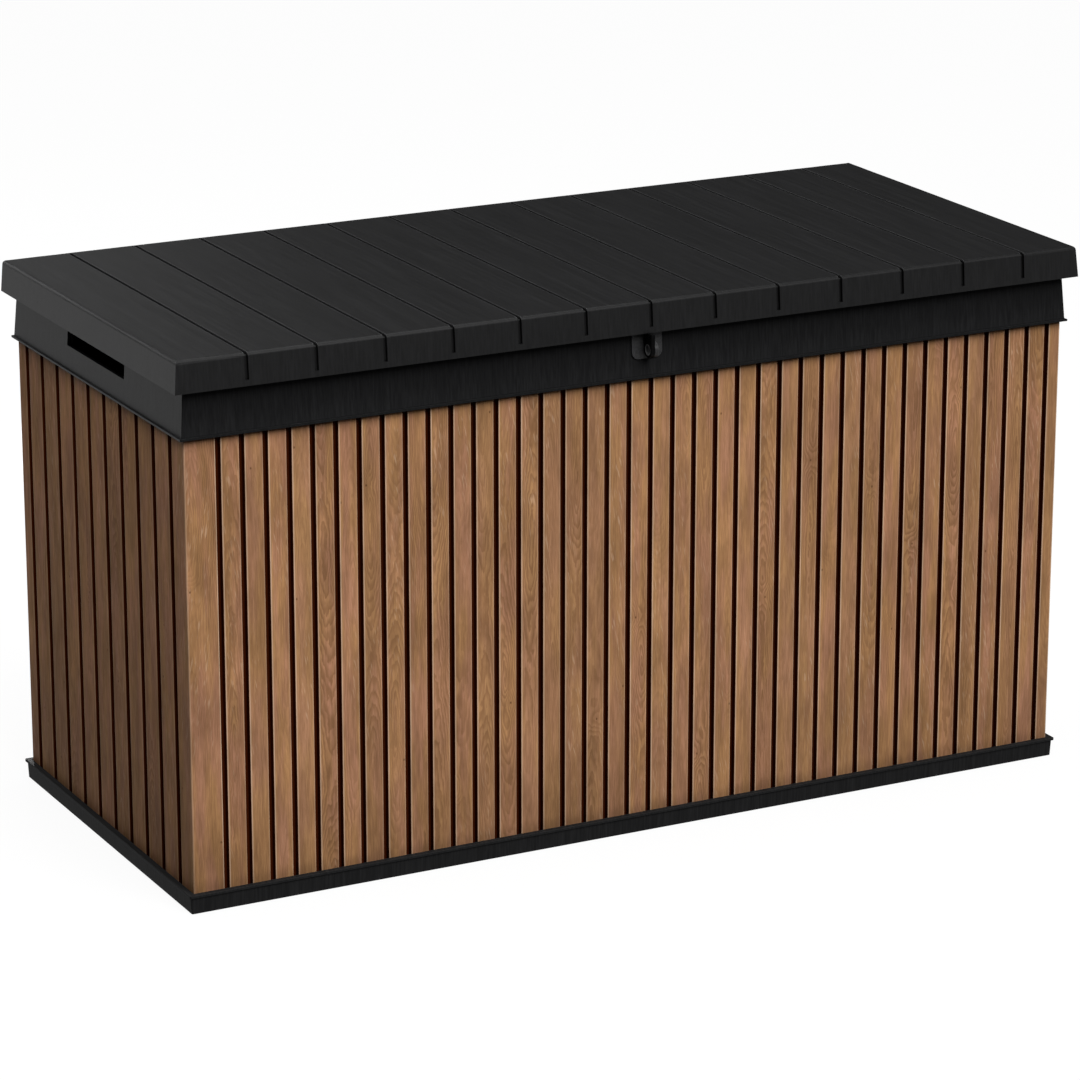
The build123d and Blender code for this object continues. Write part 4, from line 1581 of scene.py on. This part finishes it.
def finish_book(grooves: GrooveRow) -> FinishBook:
    """Lists the finishes of the box.

    Args:
        grooves: the grooves of the lid.

    Returns:
        The finishes by name.
    """
    lid_look = {
        "colour": (0.0078, 0.0078, 0.0081),
        "roughness": 0.44,
        "gloss": 0.142,
        "grain": GrainRun.UPRIGHT,
        "swing": 0.35,
        "painted_edge_light": 0.0,
    }
    steel, bright = (0.52, 0.52, 0.53), (0.72, 0.72, 0.73)
    foot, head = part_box("base_tray")[1].z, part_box("rail_front")[0].z
    eye = next(mount for mount in frame["record"]["mounts"] if mount["name"] == "padlock_eye")
    finishes = (
        WoodFinish(
            "slat_wood",
            ochre=(0.51, 0.27, 0.119),
            rose=(0.50, 0.248, 0.148),
            olive=(0.42, 0.237, 0.114),
            late=(0.275, 0.135, 0.062),
            pale=(0.66, 0.44, 0.29),
            knot=(0.15, 0.07, 0.032),
            side=(0.085, 0.0135, 0.0016),
            foot=foot,
            head=head,
        ),
        PlankFinish("lid_resin", **lid_look, grooves=grooves),
        ResinFinish("lid_hem_resin", **lid_look),
        # collar_resin and collar_end_resin are one resin, tuned apart for how the light falls on the front
        # and back and on the ends.
        CollarFinish(
            "collar_resin",
            colour=(0.0112, 0.0113, 0.0117),
            gloss=0.02,
            grain=GrainRun.UPRIGHT,
            swing=0.27,
            relief=0.00008,
            along=14.0,
            painted_edge_light=-0.55,
            foot=head,
        ),
        CollarFinish(
            "collar_end_resin",
            colour=(0.0032, 0.0033, 0.0036),
            roughness=0.44,
            gloss=0.092,
            grain=GrainRun.UPRIGHT,
            swing=0.9,
            painted_edge_light=0.2,
            foot=head,
            reach=0.009,
            # The ends' strong foot lift is painted light on the lip's shaded slope.
            foot_lift=4.2,
            head_lift=1.0,
        ),
        ResinFinish("plinth_resin", (0.0165, 0.0165, 0.017), gloss=0.02, grain=GrainRun.UPRIGHT),
        # The hand cups are darker than the plinth: painted shade inside the hand slots.
        ResinFinish("cup_resin", (0.0055, 0.0055, 0.0057), gloss=0.06, grain=GrainRun.UPRIGHT),
        PanelFinish(
            "panel_resin",
            colour=(0.02, 0.02, 0.0204),
            bounce_tint=(0.056, 0.0095, 0.0016),
            half_width=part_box("right_panel")[1].x,
            half_depth=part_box("back_panel")[1].y,
        ),
        ResinFinish("liner_resin", (0.018, 0.018, 0.0185), roughness=0.58),
        ResinFinish("lock_resin", (0.03, 0.03, 0.031), roughness=0.42),
        EyeFinish(
            "lock_tab_resin",
            colour=(0.003, 0.003, 0.0032),
            roughness=0.3,
            gloss=0.02,
            wear_and_highlight=(0.13, 0.13, 0.132),
            middle=tuple(eye["pos_m"]),
            hole=eye["dims"]["r_mm"] / MILLIMETRES,
        ),
        ResinFinish("bumper_rubber", (0.02, 0.02, 0.02), roughness=0.75, gloss=0.25),
        MetalFinish("hinge_metal", (0.02, 0.02, 0.021), bright, roughness=0.45, metallic=0.0),
        MetalFinish("pin_steel", steel, bright),
        MetalFinish("screw_steel", steel, bright, roughness=0.3),
        MetalFinish("beam_steel", steel, bright, roughness=0.4),
    )
    return FinishBook(finishes)


def mouldings() -> tuple[Moulding, ...]:
    """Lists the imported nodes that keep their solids."""
    fine, usual = SoftEdge(0.0004), SoftEdge(0.0009)
    return (
        Moulding("lid_resin", ("lid_shell",), SoftEdge(0.0011)),
        Moulding("liner_resin", ("lid_liner",), usual),
        Moulding("collar_resin", ("rail_front", "rail_back"), usual),
        Moulding("collar_end_resin", ("rail_left", "rail_right"), usual),
        Moulding("plinth_resin", ("base_tray",), usual),
        Moulding("panel_resin", tuple(f"{side}_panel" for side in SIDES)),
        Moulding("cup_resin", ("hand_cup_left", "hand_cup_right"), usual),
        Moulding("lock_resin", ("lock_plate",), fine),
        Moulding("lock_tab_resin", ("lid_eye",), fine),
        Moulding("hinge_metal", tuple(f"hinge_{place}_{leaf}" for place in HINGES for leaf in LEAVES), fine),
        Moulding("pin_steel", tuple(f"hinge_{place}_pin" for place in HINGES)),
        Moulding("beam_steel", ("lid_beam_front", "lid_beam_back"), usual),
        Moulding("bumper_rubber", ("lid_bumpers",)),
    )


def sub_assemblies(grooves: GrooveRow) -> list[SubAssembly]:
    """Lists the parts of the box in the order they are built in.

    Args:
        grooves: the grooves of the lid.

    Returns:
        The parts. The boards share one draw of numbers, so their order counts.
    """
    draw = random.Random(BOARD_SEED)
    walls = [SlatWall(f"{side}_slats", Facing[side.upper()], draw) for side in SIDES]
    posts = [CornerPost(node, draw) for node in POSTS]
    screws = [ScrewSet(node, body) for node, body in SCREWS.items()]
    return [*walls, *posts, *mouldings(), GrooveStops(grooves), *screws]


def studio() -> Studio:
    """Sets out the lights around the box."""
    middle = (0.0, 0.0, 0.42)
    lamps = (
        Sun("key", (0.13, -0.72, 0.69), 2.86, math.radians(40.0)),
        Lamp("top", (0.0, 0.2, 4.6), middle, 4.5, 149.0),
        Lamp("rim", (-0.5, 4.2, 2.1), (-0.6, 0.0, 0.85), 3.4, 11.0),
        Lamp("edge", (-1.9, 3.6, 1.75), (-0.75, 0.0, 0.84), 1.6, 15.5),
        Lamp("side", (-1.5, -0.45, 1.9), (-0.75, -0.35, 0.5), 0.9, 2.3, math.radians(115.0)),
        Lamp("back", (0.0, 2.3, 0.42), middle, 0.7, 16.0),
        Lamp("right", (2.6, 0.0, 0.42), middle, 0.7, 12.0),
    )
    return Studio(lamps)


def main() -> None:
    """Builds the parts in order, dresses them and sets the stage."""
    logging.basicConfig(level=logging.INFO, format="%(name)s: %(message)s")
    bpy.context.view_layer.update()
    grooves = GrooveRow.of_node("lid_shell")
    book = finish_book(grooves)
    for part in sub_assemblies(grooves):
        part.build(book)
    studio().build()


if __name__ == "__main__":
    main()
